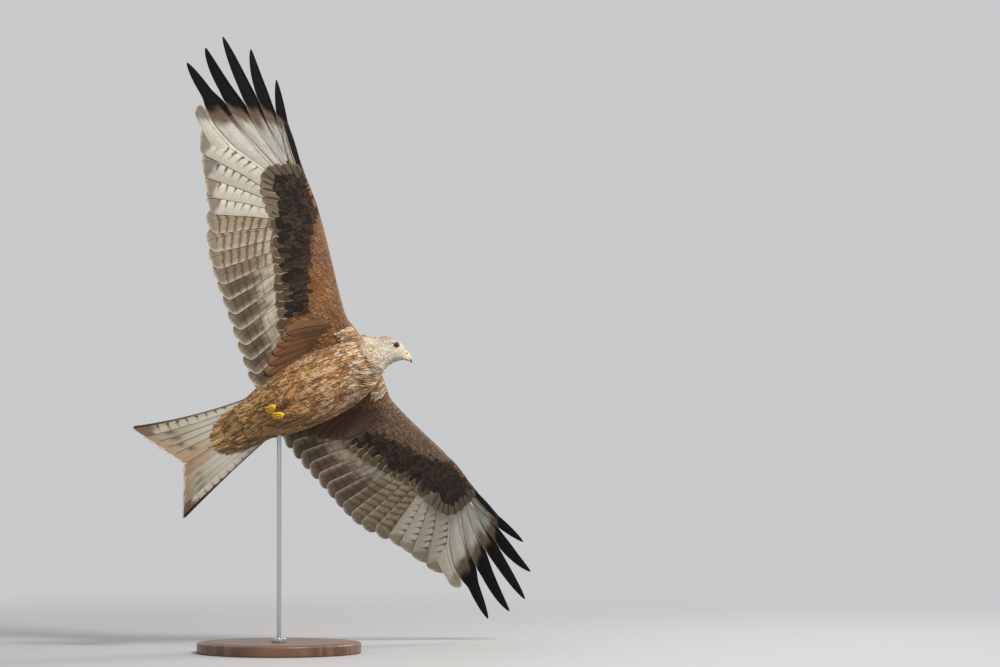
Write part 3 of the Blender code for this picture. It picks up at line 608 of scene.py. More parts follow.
def remex_paths():
    """Plan paths, half-width vectors and the share of each length where the spread part starts, P10 first."""
    paths, halves, cuts = [], [], []
    for index, (number, mid_f, mid_l, tip_f, tip_l, width, _) in enumerate(FINGERS):
        ahead, behind = np.array(FINGER_NOTCHES[index]), np.array(FINGER_NOTCHES[index + 1])
        start, middle, tip = (ahead + behind) / 2, np.array([mid_f, mid_l]), np.array([tip_f, tip_l])
        root_half = (ahead - behind) / 2
        origin = np.array(PRIMARY_ROOTS[number - 1])
        q = np.linspace(0, 1, SPREAD_CUT, endpoint=False)[:, None]
        bend = 2 * middle - (start + tip) / 2
        first = bend - start
        lead_in = start - first / np.linalg.norm(first) * np.linalg.norm(start - origin) * 0.42
        inner = quadratic(origin, lead_in, start, q)
        wide = np.interp(q, (0, 0.5, 0.8, 1.0), (0.22, 1.15, 1.22, 1.02)) * root_half
        t = 0.985 * np.sin(0.5 * pi * np.linspace(0, 1, NS - SPREAD_CUT))[:, None]
        outer = quadratic(start, bend, tip, t)
        along = 2 * (1 - t) * (bend - start) + 2 * t * (tip - bend)
        normal = np.stack([along[:, 1], -along[:, 0]], -1) / np.linalg.norm(along, axis=1, keepdims=True)
        normal *= np.sign(normal @ root_half)[:, None] * width / 2
        half = root_half + (normal - root_half) * ease(t / 0.30)
        half = half * ((1 - t ** 1.9) ** 0.70 if number > 5 else np.sqrt(1 - t ** 3.4))
        paths.append(np.concatenate([inner, outer]))
        halves.append(np.concatenate([wide, half]))
        length = np.linalg.norm(np.diff(paths[-1], axis=0), axis=1)
        cuts.append(length[:SPREAD_CUT].sum() / length.sum())
    tips_l = np.concatenate([INNER_TIPS[::-1], SECONDARY_TIPS])
    tip = np.stack([smooth(TRAILING_L, TRAILING_F, tips_l) - 0.0008, tips_l], 1)
    in_l, in_root = np.array(ROOTS_L).T
    sec_root_l = np.interp(SECONDARY_TIPS, in_l, in_root)
    sec_root_f = np.interp(sec_root_l, edge_l, edge_f) + 0.034
    root = np.concatenate([np.array(PRIMARY_ROOTS[3::-1]), np.stack([sec_root_f, sec_root_l], 1)])
    straight = tip - root
    normal = np.stack([straight[:, 1], -straight[:, 0]], 1)
    bow = np.interp(tips_l, (0.08, 0.3, 0.44, 0.61), (0.02, 0.03, 0.07, 0.10))
    path = bezier(root, (root + tip) / 2 + normal * bow[:, None], tip, S_STATIONS)
    wide = np.interp(tips_l, (0.079, 0.44, 0.52, 0.61), (0.0265, 0.0262, 0.0262, 0.029))[:, None]
    s = S_STATIONS[None]
    profile = np.interp(s, (0, 0.25, 0.6, 1), (0.25, 0.8, 1.0, 1.0))
    turn_in = np.interp(tips_l, (0.44, 0.48), (0.89, 0.94))[:, None]
    profile = profile * blunt_end(s, turn_in, 2.6, 0.003)
    half = across_of(path) * (wide * profile)[..., None]
    paths = np.concatenate([np.array(paths), path])
    halves = np.concatenate([np.array(halves), half])
    return paths, halves, np.concatenate([cuts, np.full(len(tips_l), 2.0)])


def remex_colour(kinds, cuts, lengths, side):
    """Colours of primaries and secondaries; kinds runs 10..1 for primaries and 0..-10 for secondaries."""

    def paint(s, x):
        kind, cut, length = (np.broadcast_to(v[:, None, None], s.shape) for v in (kinds, cuts, lengths * MM))
        finger, arm = kind > 5, kind <= 0
        inner = ~finger & ~arm              # the inner primaries: pale, with ticks and a dark patch at the tip
        inward = np.clip(-kind / 10.0, 0, 1)
        wild = speckle(s * 11, x * 2.6 + kind * 3.7, 21)
        to_tip = (1 - s) * length
        # below, inner primaries
        light = mix(srgb(204, 199, 188), srgb(158, 149, 134), ease((0.45 - x) / 1.3) * 0.6 + 0.2 * wild)
        patch = ease((s - 0.80 - 0.10 * np.clip((0.35 - x) / 1.35, 0, 1) + 0.05 * (wild - 0.5)) / 0.06)
        low_inner = mix(light, srgb(112, 101, 93), patch * 0.88)
        # below, secondaries: pale bases; the inner ones dark at the tip, with a darker middle and a pale edge
        streaky = speckle(s * 3.5, x * 5.5 + kind * 5.3, 22)
        light = mix(srgb(166, 153, 131), srgb(178, 169, 151), ease(inward * 2.0))
        light = mix(light, srgb(122, 108, 88), 0.55 * ease((streaky - 0.45) / 0.3) * ease((inward - 0.2) / 0.2))
        dusk = mix(srgb(142, 127, 104), srgb(96, 82, 67), ease((inward - 0.10) / 0.35))
        dusk = mix(dusk, srgb(142, 127, 108), 0.5 * ease((0.42 - streaky) / 0.25))
        start = 0.26 + 0.20 * ease((inward - 0.25) / 0.3) + 0.07 * np.sin(kind * 2.4) * inward
        start = start - 0.16 * np.abs(x + 0.15) + 0.34 * (streaky - 0.5)
        low_arm = mix(light, dusk, ease((s - start) / 0.16) * (0.55 + 0.42 * ease(inward * 2.5)))
        centre_line = np.exp(-((x + 0.20) / 0.24) ** 2) * ease((inward - 0.2) / 0.3) * ease((s - start) / 0.3)
        low_arm = mix(low_arm, srgb(62, 50, 39), centre_line * 0.62)
        low_arm = mix(low_arm, srgb(122, 113, 106), ease((s - 0.87) / 0.05) * 0.65)
        low_arm = mix(low_arm, srgb(192, 180, 158), ease((-x - 0.66) / 0.3) * 0.65)
        # painted shade: the left wing's undersides are darkened as if in shade, the secondaries beyond their
        # bases and the inner primaries greyer
        if side > 0:
            low_arm = mix(low_arm, srgb(70, 58, 46), 0.42 * ease((s - 0.10) / 0.2) * (0.5 + 0.5 * wild))
            low_inner = mix(low_inner, srgb(150, 141, 122), 0.40)
        low = np.where(arm[..., None], low_arm, low_inner)
        fringe = 1 - ease((to_tip - 3.0) / 4.5)
        low = mix(low, srgb(184, 156, 122), fringe * 0.75)
        # below, the spread primaries: pale base, brown, then black, which runs down the leading web
        window = mix(srgb(198, 194, 183), srgb(142, 152, 154), ease((kind - 7.0) / 2.4) * 0.9)
        window = mix(window, srgb(142, 137, 126), 0.45 * wild + 0.25 * ease((0.1 - x) / 0.9))
        web = ease((x - 0.22) / 0.22)
        ragged = 0.10 * (wild - 0.5) + 0.02 * np.sin(kind * 5.1)
        down = web * np.where(kind >= 10, 0.42, np.where(kind >= 9, 0.16, 0.085))
        brown = ease((s - cut + 0.185 + ragged + down) / 0.10)
        black = ease((s - cut + 0.050 + ragged * 0.5 + down) / 0.06)
        low_finger = mix(mix(window, srgb(94, 77, 60), brown * 0.95), srgb(14, 12, 12), black)
        low = np.where(finger[..., None], low_finger, low)
        taper = 0.98 - 0.80 * np.clip((0.30 - x) / 0.75, 0, 1.3)
        ticks = np.where(x < 0.33, taper, 0.0) * ease((s - 0.30) / 0.1)
        ticks = ticks * (1 - ease((s - 0.84) / 0.04)) * (kind < 5)
        across = (0.74 + 0.12 * np.exp(-((x + 0.15) / 0.55) ** 2)) * (1 - 0.30 * ease((inward - 0.3) / 0.3))
        across = across * (1 - ease((s - 0.87) / 0.05)) * ease((s - 0.05) / 0.1) * (0.70 + 0.6 * wild)
        across = across * (1 - 0.7 * ease((inward - 0.25) / 0.15) * (1 - ease((s - 0.35) / 0.15)))
        low_bar = np.where(arm, across, np.where(inner, 0.86 * ticks, 0.0))
        dark = mix(low, srgb(84, 68, 54), np.where(inner, 0.95, 0.74))
        dark = mix(dark, mix(low, srgb(58, 46, 37), 0.50), ease((inward - 0.2) / 0.3))
        # above
        high = mix(srgb(92, 76, 63), srgb(66, 54, 46), ease((x + 0.2) / 0.8))
        high = np.where(arm[..., None], high, mix(high, srgb(34, 28, 26), ease((s - 0.35) / 0.35)))
        high = np.where(finger[..., None], mix(high, srgb(19, 16, 16), ease((s - cut + 0.25) / 0.2)), high)
        high_bar = np.where(finger, 0.0, 0.75)
        bars = length / 18.5
        rim = np.where(finger, 0.0, 0.85 * ease((s - 0.35) / 0.4))
        notch = np.exp(-((s - cut + 0.015) / 0.03) ** 2) * ease((-x - 0.45) / 0.3)
        rim = np.where(finger & (s < cut + 0.05), np.maximum(0.25 * (s < cut - 0.1), notch), rim)
        edging = np.where(finger[..., None], srgb(186, 156, 122), srgb(232, 222, 206))
        shaft_x = np.where(finger, 0.38, np.where(inner, 0.30, 0.12))
        line = np.where(finger & (s > cut), 0.3, 0.9)
        return {
            "ground": (high, low), "mark": (srgb(40, 33, 29), dark), "edging": edging,
            "code": (code(bars, high_bar, 0.0), code(bars, low_bar, 0.0)),
            "code2": (code(0.25 * rim, shaft_x, line), code(rim, shaft_x, line)),
        }

    return paint


def make_remiges(side, name):
    paths, halves, cuts = remex_paths()
    K = len(paths)
    kinds = np.concatenate([np.arange(10, 0, -1), -np.arange(11)]).astype(float)
    chance = np.random.default_rng(11 if side > 0 else 12).uniform(0, 1, K)
    steps = np.linalg.norm(np.diff(paths, axis=1), axis=-1)
    length = np.concatenate([np.zeros((K, 1)), np.cumsum(steps, 1)], 1)
    s = length / length[:, -1:]
    tilt = np.where(kinds > 4, 0.0006, 0.0011)
    spread = np.clip((s - cuts[:, None]) / np.maximum(1 - cuts[:, None], 0.01), 0, 1)
    droop = np.zeros((K, 1))
    droop[:len(FINGERS), 0] = [finger[-1] for finger in FINGERS]
    lift = -droop * spread ** 2
    before_cut = ease(1 - s / np.minimum(cuts, 1)[:, None])
    lift += np.where(kinds[:, None] > 4, -0.0016 * (kinds[:, None] - 7.5) / 3 * before_cut, 0)
    thick = 0.0006 + 0.0012 * (1 - s) ** 1.5
    # the inner primaries end at a slant, with the corner on the leading side
    slant = np.interp(kinds, (-1, 1, 5, 6), (0.0, 0.010, 0.016, 0.0))[:, None, None]
    wide = np.linalg.norm(halves, axis=-1)
    across = XS_WIDE[None, None] * (wide / wide.max(1, keepdims=True))[:, :, None]
    shear = slant * (0.40 - ((1 - across) / 2) ** 1.3) * ease((s[:, :, None] - 0.45) / 0.55)
    obj = plan_vanes(f"remiges_{name}", side, paths, halves, XS_WIDE, wing_mid, 1, thick, 0.0, tilt, lift, s,
                     chance, remex_colour(kinds, cuts, length[:, -1], side), own_uv, shear)
    dress(obj, "plumage_black", *(f"wing_{name}_primary_{k}" for k in range(5, 11)))


def fan(end_l):
    """Angle of the wing's feathers from straight back, outwards positive, by chord line."""
    return np.interp(end_l, (0.079, 0.105, 0.178, 0.286, 0.400, 0.460, 0.557, 0.610, 0.640),
                     (-0.30, -0.27, -0.04, 0.05, 0.37, 0.62, 0.90, 1.08, 1.22))


def lead_f(l):
    return smooth(LEADING_L, LEADING_F, np.clip(l, 0.04, 0.55))


# share of the way from the leading edge to the coverts' rear edge, length, half width, metres
COVERT_ROWS = (
    (0.02, 0.012, 0.0036), (0.07, 0.014, 0.0042), (0.12, 0.017, 0.0048), (0.18, 0.020, 0.0054),
    (0.25, 0.022, 0.0060), (0.32, 0.024, 0.0064), (0.40, 0.026, 0.0070), (0.48, 0.028, 0.0076),
    (0.57, 0.031, 0.0084), (0.66, 0.034, 0.0092), (0.76, 0.040, 0.0104), (0.88, 0.044, 0.0118),
    (1.00, 0.048, 0.0145),
)
# tips (f, l) and half widths of the greater coverts under the hand, from the wrist to the leading edge
HAND_COVERTS = (
    (0.203, 0.4335, 0.0135), (0.209, 0.452, 0.0135), (0.216, 0.468, 0.0130), (0.227, 0.480, 0.0125),
    (0.242, 0.486, 0.0115), (0.258, 0.4855, 0.0105), (0.273, 0.481, 0.0098), (0.287, 0.474, 0.0092),
    (0.300, 0.463, 0.0085),
)


def covert_layout(seed, top):
    """Tips, roots, half widths, row numbers and random numbers of one face's coverts, without side."""
    r = np.random.default_rng(seed)
    tips, roots, halves, rows = [], [], [], []
    hand_f, hand_l, _ = np.array(HAND_COVERTS).T
    for row, (share, length, half) in enumerate(COVERT_ROWS):
        if top:
            length, half = length * 1.05, half * 1.12
        l = np.arange(0.052 + half * r.uniform(), 0.552, half * 1.28)
        l = l + r.uniform(-0.22, 0.22, len(l)) * half
        rear = np.interp(l, edge_l, edge_f)
        front = lead_f(l)
        f = front + (rear - front) * np.clip(share + r.uniform(-0.022, 0.022, len(l)), 0.004, 1.03)
        end, _ = locate(f, l)
        turn = fan(end) * (0.45 + 0.55 * share) + r.normal(0, 0.09, len(l))
        size = length * r.uniform(0.9, 1.12, len(l))
        size = size * np.interp(l, (0.05, 0.12, 0.45, 0.55), (1.0, 1.1, 1.0, 0.72))
        step = np.stack([-np.cos(turn), np.sin(turn)], 1)
        tip = np.stack([f, l], 1) + step * 0.004
        root = tip - step * size[:, None]
        over = np.maximum(root[:, 0] - (lead_f(root[:, 1]) - 0.0012), 0)
        root[:, 0] -= over
        tip[:, 0] -= over * 0.35
        # the hand's broad greater coverts lie further out, with a narrow row along the leading edge
        keep = tip[:, 1] < np.interp(tip[:, 0], hand_f, hand_l) - (0.0 if top else 0.012)
        keep |= (front - f < 0.0085) & (tip[:, 1] < 0.470)
        tips.append(tip[keep]), roots.append(root[keep])
        halves.append(half * r.uniform(0.92, 1.1, keep.sum()))
        rows.append(np.full(keep.sum(), row))
    tips, roots, halves, rows = (np.concatenate(a) for a in (tips, roots, halves, rows))
    return tips, roots, halves, rows, r.uniform(0, 1, len(tips))


def band(l, knots):
    k = np.array(knots)
    return np.interp(l, k[:, 0], k[:, 1])


# rear edge of the rufous band below, l and f: it meets the leading edge at the wrist
RUFOUS_EDGE = (
    (0.05, 0.100), (0.09, 0.115), (0.125, 0.140), (0.19, 0.180), (0.25, 0.212), (0.29, 0.236),
    (0.328, 0.262), (0.353, 0.300), (0.40, 0.318), (0.55, 0.345),
)


def shoulder_tone(ground, l, from_front, chance):
    """Beside the neck the coverts take its cream and rufous streaks."""
    share = ease((0.088 - l) / 0.022) * ease((0.034 - from_front) / 0.016)
    return mix(ground, mix(srgb(212, 186, 150), srgb(170, 118, 74), ease((chance - 0.35) / 0.3)), 0.9 * share)


def under_covert_colour(tips, rows, chance, side):
    f, l = tips[:, 0], tips[:, 1]
    patch = speckle(l / 0.016, f / 0.030, 23)
    from_front = lead_f(l) - f
    dark = ease((band(l, RUFOUS_EDGE) + (chance - 0.5) * 0.016 - f) / 0.012 + 0.5)
    root = ease((0.178 - l + 0.02 * (chance - 0.5)) / 0.03)       # rufous right back beside the body
    dark = dark * (1 - root)
    lead = mix(srgb(112, 77, 47), srgb(154, 107, 65), 0.75 * patch + 0.25 * chance)
    lead = mix(lead, srgb(128, 100, 76), ease((0.038 - from_front) / 0.02) * 0.7)
    # painted shade on the left wing: its rufous band turns a greyer mauve-brown, and the coverts beside the body
    # turn dark brown as in the body's shadow
    if side > 0:
        lead = mix(lead, srgb(122, 101, 84), 0.85 * ease((l - 0.09) / 0.06))
        lead = mix(lead, srgb(72, 51, 36), 0.85 * root * ease((from_front - 0.03) / 0.03))
    # painted highlight: a pale orange line along the very leading edge, where the light grazes it
    lead = mix(lead, srgb(212, 158, 104), ease((0.0055 - from_front) / 0.003) * 0.8)
    black = mix(srgb(30, 22, 17), srgb(70, 50, 34), 0.45 * ease((patch * 0.6 + chance * 0.4 - 0.52) / 0.15))
    wrist = ease((l - 0.30) / 0.02) * (1 - ease((l - 0.41) / 0.03)) * (chance > 0.30) * (from_front < 0.009)
    black = mix(black, srgb(146, 97, 54), 0.8 * wrist)
    black = mix(black, srgb(22, 18, 17), ease((l - 0.445) / 0.01) * 0.9)
    ground = mix(lead, black, dark)
    last = len(COVERT_ROWS) - 1
    greater, nearly = rows == last, rows == last - 1
    hand = ease((l - 0.385) / 0.03)
    rear = mix(srgb(82, 68, 52), srgb(108, 94, 77), hand) * (0.75 + 0.5 * chance)[:, None]
    tawny = root * ease((0.150 - l) / 0.03)
    share = np.where(greater, 1.0, np.where(nearly, np.maximum(0.35 * (chance > 0.45), hand), 0.0))
    share = share * (1 - 0.8 * tawny) * (1 - ease((l - 0.490) / 0.004))
    ground = mix(ground * (0.80 + 0.40 * chance)[:, None], rear, share)
    ground = shoulder_tone(ground, l, from_front, chance)
    mark = mix(mix(lead * 0.50, srgb(16, 12, 10), dark), srgb(70, 57, 45), share)
    edging = mix(mix(mix(lead, srgb(84, 56, 36), 0.45), srgb(104, 76, 52), dark),
                 mix(srgb(192, 172, 138), srgb(172, 138, 100), hand), np.maximum(share, 0.5 * nearly))
    streak = np.where(share > 0.5, 0.0, 0.10 + 0.06 * dark + 0.10 * (rows > 3) * (1 - dark) * chance)
    rim = 0.45 * (1 - dark) + 0.55 * dark * (chance > 0.4) * (l < 0.445)
    rim = np.where(share > 0.5, 0.9 - 0.35 * hand, rim)
    return ground, mark, edging, streak, rim


def upper_covert_colour(tips, rows, chance, side):
    f, l = tips[:, 0], tips[:, 1]
    last = len(COVERT_ROWS) - 1
    share = np.array([r[0] for r in COVERT_ROWS])[rows]
    arm = 1 - ease((l - 0.36) / 0.08)
    lesser = mix(srgb(150, 92, 52), srgb(112, 70, 42), chance)
    pale = mix(srgb(196, 156, 108), srgb(176, 128, 82), chance)
    great = mix(srgb(86, 66, 52), srgb(70, 54, 44), chance)
    ground = mix(lesser, pale, ease((share - 0.42) / 0.2) * arm)
    ground = mix(ground, great, ease((share - 0.72) / 0.12))
    ground = mix(ground, srgb(72, 56, 45), (1 - arm) * 0.75)
    ground = shoulder_tone(ground, l, lead_f(l) - f, chance)
    mark = mix(ground, srgb(48, 35, 27), 0.60)
    edging = mix(srgb(192, 144, 96), srgb(206, 180, 144), ease((share - 0.4) / 0.3))
    return ground, mark, edging, np.where(rows < last - 1, 0.24, 0.16), np.where(rows == last, 0.75, 0.55)


def flat_paint(ground, mark, edging, streak, rim, bars=0.0, bar=0.0, shaft_x=0.0, line=0.6, dusk=0.0,
               above=None):
    """One colour set for each feather or for all, darker at the hidden root, with dusk a painted shade on the
    trailing web.

    above is the colour of the upper face where that differs.
    """

    def wide(colour):
        return np.atleast_2d(colour)[:, None, None]

    def paint(s, x):
        base = wide(ground) * (0.80 + 0.20 * ease(s / 0.5))[..., None]
        # painted shade: dusk darkens the trailing web
        if dusk:
            base = base * (1 - dusk * ease((-x - 0.05) / 0.6))[..., None]
        if above is not None:
            base = (above, base)
        return {"ground": base, "mark": wide(mark), "edging": wide(edging),
                "code": code(bars, bar, streak), "code2": code(rim, shaft_x, line)}

    return paint


def make_coverts(side, name):
    for top, label in ((True, "upper"), (False, "under")):
        out = 1 if top else -1
        tips, roots, halves, rows, chance = covert_layout(31 if top else 32 + (side > 0), top)
        K, N, xs = len(tips), 9, np.array([-1.0, -0.75, -0.4, 0.0, 0.4, 0.75, 1.0])
        s1 = stations(N, 1.3)
        path = roots[:, None] + (tips - roots)[:, None] * s1[None, :, None]
        profile = np.interp(s1, (0, 0.3, 0.7, 1), (0.45, 0.9, 1.0, 1.0)) * blunt_end(s1, 0.72, 2.2, 0.006)
        rise = 0.0007 + 0.018 * np.linalg.norm(tips - roots, axis=1)
        lift = -0.0016 + (rise + 0.0016)[:, None] * s1[None] ** 0.8 + (chance[:, None] - 0.5) * 0.0005
        height = lambda f, l: wing_face(f, l, out)
        colours = (upper_covert_colour if top else under_covert_colour)(tips, rows, chance, side)
        obj = plan_vanes(f"coverts_{label}_{name}", side, path, halves[:, None] * profile, xs, height, out,
                         0.0005, 0.0004 * out, 0.0005 * halves / 0.01, lift, np.broadcast_to(s1, (K, N)),
                         chance, flat_paint(*colours), wing_uv)
        dress(obj, "plumage_brown")


def plan_batch(label, side, roots, tips, halves, out, colours, seed, slot="plumage_brown", N=14, M=7,
               blunt=0.75, lift0=-0.0005, lift1=0.0025, bow=0.0, thick=0.0006, height=None, replaced=(),
               uv=wing_uv, **extra):
    """One batch of vanes on one face of a wing or of the tail.

    It makes axillaries, the hand's coverts and edge, alula, scapulars, tertials, the shoulder and the fringe
    under the tail; extra goes to flat_paint.
    """
    roots, tips, halves = np.array(roots), np.array(tips), np.array(halves)
    K = len(roots)
    chance = np.random.default_rng(seed).uniform(0, 1, K)
    s1 = stations(N, 1.25)
    straight = tips - roots
    normal = np.stack([straight[:, 1], -straight[:, 0]], 1)
    path = bezier(roots, (roots + tips) / 2 + normal * bow, tips, s1)
    profile = np.interp(s1, (0, 0.25, 0.6, 1), (0.35, 0.85, 1.0, 1.0)) * blunt_end(s1, blunt, 2.2, 0.004)
    lift0, lift1 = (np.reshape(v, (-1, 1)) for v in (lift0, lift1))
    lift = np.broadcast_to(lift0 + (lift1 - lift0) * s1, (K, N))
    if height is None:
        height = lambda f, l: wing_face(f, l, out)
    obj = plan_vanes(label, side, path, halves[:, None] * profile, across_points(M, 0.5), height, out, thick,
                     0.0006 * out, 0.0006, lift, np.broadcast_to(s1, (K, N)), chance,
                     flat_paint(*colours(tips, chance), **extra), uv)
    dress(obj, slot, *replaced)


def make_axillaries(side, name):
    def colours(tips, chance):
        ground = mix(srgb(140, 94, 56), srgb(112, 78, 50), chance)
        # painted shade: the left wing's axillaries are much darker
        if side > 0:
            ground = mix(ground, srgb(66, 48, 35), 0.75)
        # their dark edging and the darker trailing web that dusk gives are painted shadow lines and shade
        # between the overlapping feathers
        return ground, srgb(40, 28, 20), mix(ground, srgb(52, 34, 22), 0.5), 0.07, 0.2

    count = 6
    t = np.linspace(0, 1, count)
    roots = np.stack([0.208 - 0.070 * t, 0.116 - 0.034 * t], 1)
    tips = np.stack([np.interp(t, (0, 0.3, 0.6, 0.85, 1), (0.104, 0.082, 0.056, 0.032, 0.020)),
                     np.interp(t, (0, 0.3, 0.6, 0.85, 1), (0.146, 0.138, 0.118, 0.098, 0.086))], 1)
    plan_batch(f"axillaries_{name}", side, roots, tips, np.full(count, 0.0165), -1, colours, 41 + (side > 0),
               lift0=0.0002, lift1=np.linspace(0.0052, 0.0030, count), N=20, blunt=0.70, bow=0.05, dusk=0.5)


def make_hand_coverts(side, name):
    def colours(tips, chance):
        K = len(tips)
        ground = mix(srgb(120, 106, 88), srgb(60, 48, 38), 0.5 * chance + 0.5 * np.linspace(0, 1, K))
        # painted shade: darker on the left wing
        if side > 0:
            ground = mix(ground, srgb(84, 70, 56), 0.4)
        return ground, srgb(58, 46, 37), srgb(160, 128, 94), 0.16, np.linspace(0.65, 0.25, K)

    table = np.array(HAND_COVERTS)
    r = np.random.default_rng(44)
    t = np.linspace(0, 1, len(table))
    turn = np.interp(t, (0, 0.25, 0.5, 0.75, 1), (0.57, 0.93, 1.23, 1.50, 1.74)) + r.normal(0, 0.05, len(t))
    step = np.stack([-np.cos(turn), np.sin(turn)], 1)
    tips = table[:, :2] + step * r.uniform(-0.0025, 0.0025, len(t))[:, None]
    roots = tips - step * (np.interp(t, (0, 1), (0.048, 0.038)) * r.uniform(0.9, 1.15, len(t)))[:, None]
    plan_batch(f"coverts_hand_{name}", side, roots, tips, table[:, 2], -1, colours, 43, lift0=-0.0012,
               lift1=np.linspace(0.0052, 0.0034, len(table)), N=16, M=9, blunt=0.60, line=0.25)


def make_hand_edge(side, name):
    """A narrow black feather and a pale one on the hand's leading edge, ahead of the outermost primary."""
    def colours(tips, chance):
        ground = np.stack([srgb(26, 21, 19), srgb(150, 146, 136)])
        return ground, srgb(14, 12, 12), srgb(78, 62, 50), 0.1, 0.3

    roots, tips = [(0.2995, 0.430), (0.2910, 0.436)], [(0.3238, 0.557), (0.3115, 0.540)]
    plan_batch(f"coverts_edge_{name}", side, roots, tips, [0.0066, 0.0085], -1, colours, 47, "plumage_black",
               lift0=0.0004, lift1=[0.0012, 0.0004], N=18, blunt=0.55, line=0.25)


def make_alula(side, name):
    def colours(tips, chance):
        ground = mix(srgb(60, 48, 40), srgb(46, 38, 33), chance)
        return ground, srgb(30, 25, 22), srgb(150, 118, 84), 0.25, 0.5

    roots = [(lead_f(np.array(0.345)) - 0.004 - 0.003 * k, 0.340 - 0.003 * k) for k in range(4)]
    tips = [(lead_f(np.array(0.432 - 0.016 * k)) - 0.007 - 0.004 * k, 0.432 - 0.016 * k) for k in range(4)]
    plan_batch(f"alula_{name}", side, roots, tips, [0.0062, 0.0068, 0.0072, 0.0074], 1, colours, 51,
               lift0=0.0012, lift1=[0.0020, 0.0028, 0.0036, 0.0044], replaced=(f"wing_{name}_alula",))


def make_scapulars(side, name):
    def colours(tips, chance):
        ground = mix(srgb(134, 92, 59), srgb(108, 74, 49), chance)
        return ground, srgb(84, 60, 43), srgb(180, 134, 92), 0.14, 0.45

    def height(f, l):
        """The wing's upper face, or the round back where that is higher."""
        back = 0.052 * np.sqrt(np.maximum(1 - (l / 0.082) ** 2, 0))
        return np.maximum(wing_face(f, l, 1), back * np.interp(f, (-0.04, 0.05, 0.2), (0.62, 0.96, 1.0)))

    r = np.random.default_rng(61)
    roots, tips, halves = [], [], []
    for row in range(9):
        for col in range(5):
            f = 0.215 - 0.0175 * row + r.uniform(-0.003, 0.003)
            l = 0.046 + 0.012 * col + r.uniform(-0.002, 0.002) + (row % 2) * 0.006
            size = 0.036 + 0.0022 * row
            turn = r.normal(0.02, 0.06) - 0.05 * col
            roots.append((f, l)), tips.append((f - size * math.cos(turn), l + size * math.sin(turn)))
            halves.append(0.0098 + 0.0005 * row)
    plan_batch(f"scapulars_{name}", side, roots, tips, halves, 1, colours, 62, lift0=-0.001, lift1=0.004,
               height=height, N=10, blunt=0.6)


def make_tertials(side, name):
    """The innermost flight feathers, which close the wing against the body."""
    def colours(tips, chance):
        ground = mix(srgb(150, 134, 116), srgb(128, 112, 96), chance)
        return ground, srgb(82, 66, 54), srgb(222, 204, 178), 0.0, 0.9

    tips = [(-0.0165, 0.050), (-0.0150, 0.060), (-0.0150, 0.070)]
    roots = [(0.115, 0.062), (0.118, 0.078), (0.122, 0.096)]
    plan_batch(f"tertials_{name}", side, roots, tips, [0.021, 0.022, 0.023], 1, colours, 71, lift0=0.0,
               lift1=[-0.0008, 0.0, 0.0006], height=wing_mid, N=20, M=9, blunt=0.85, bars=9.0, bar=0.5,
               above=srgb(96, 76, 60))


for wing in SIDES:
    for make in (make_remiges, make_coverts, make_axillaries, make_hand_coverts, make_hand_edge, make_alula,
                 make_scapulars, make_tertials):
        make(*wing)


# ---------------------------------------------------------------- tail
TAIL_FEATHERS = 6                   # in each half, from the middle outwards


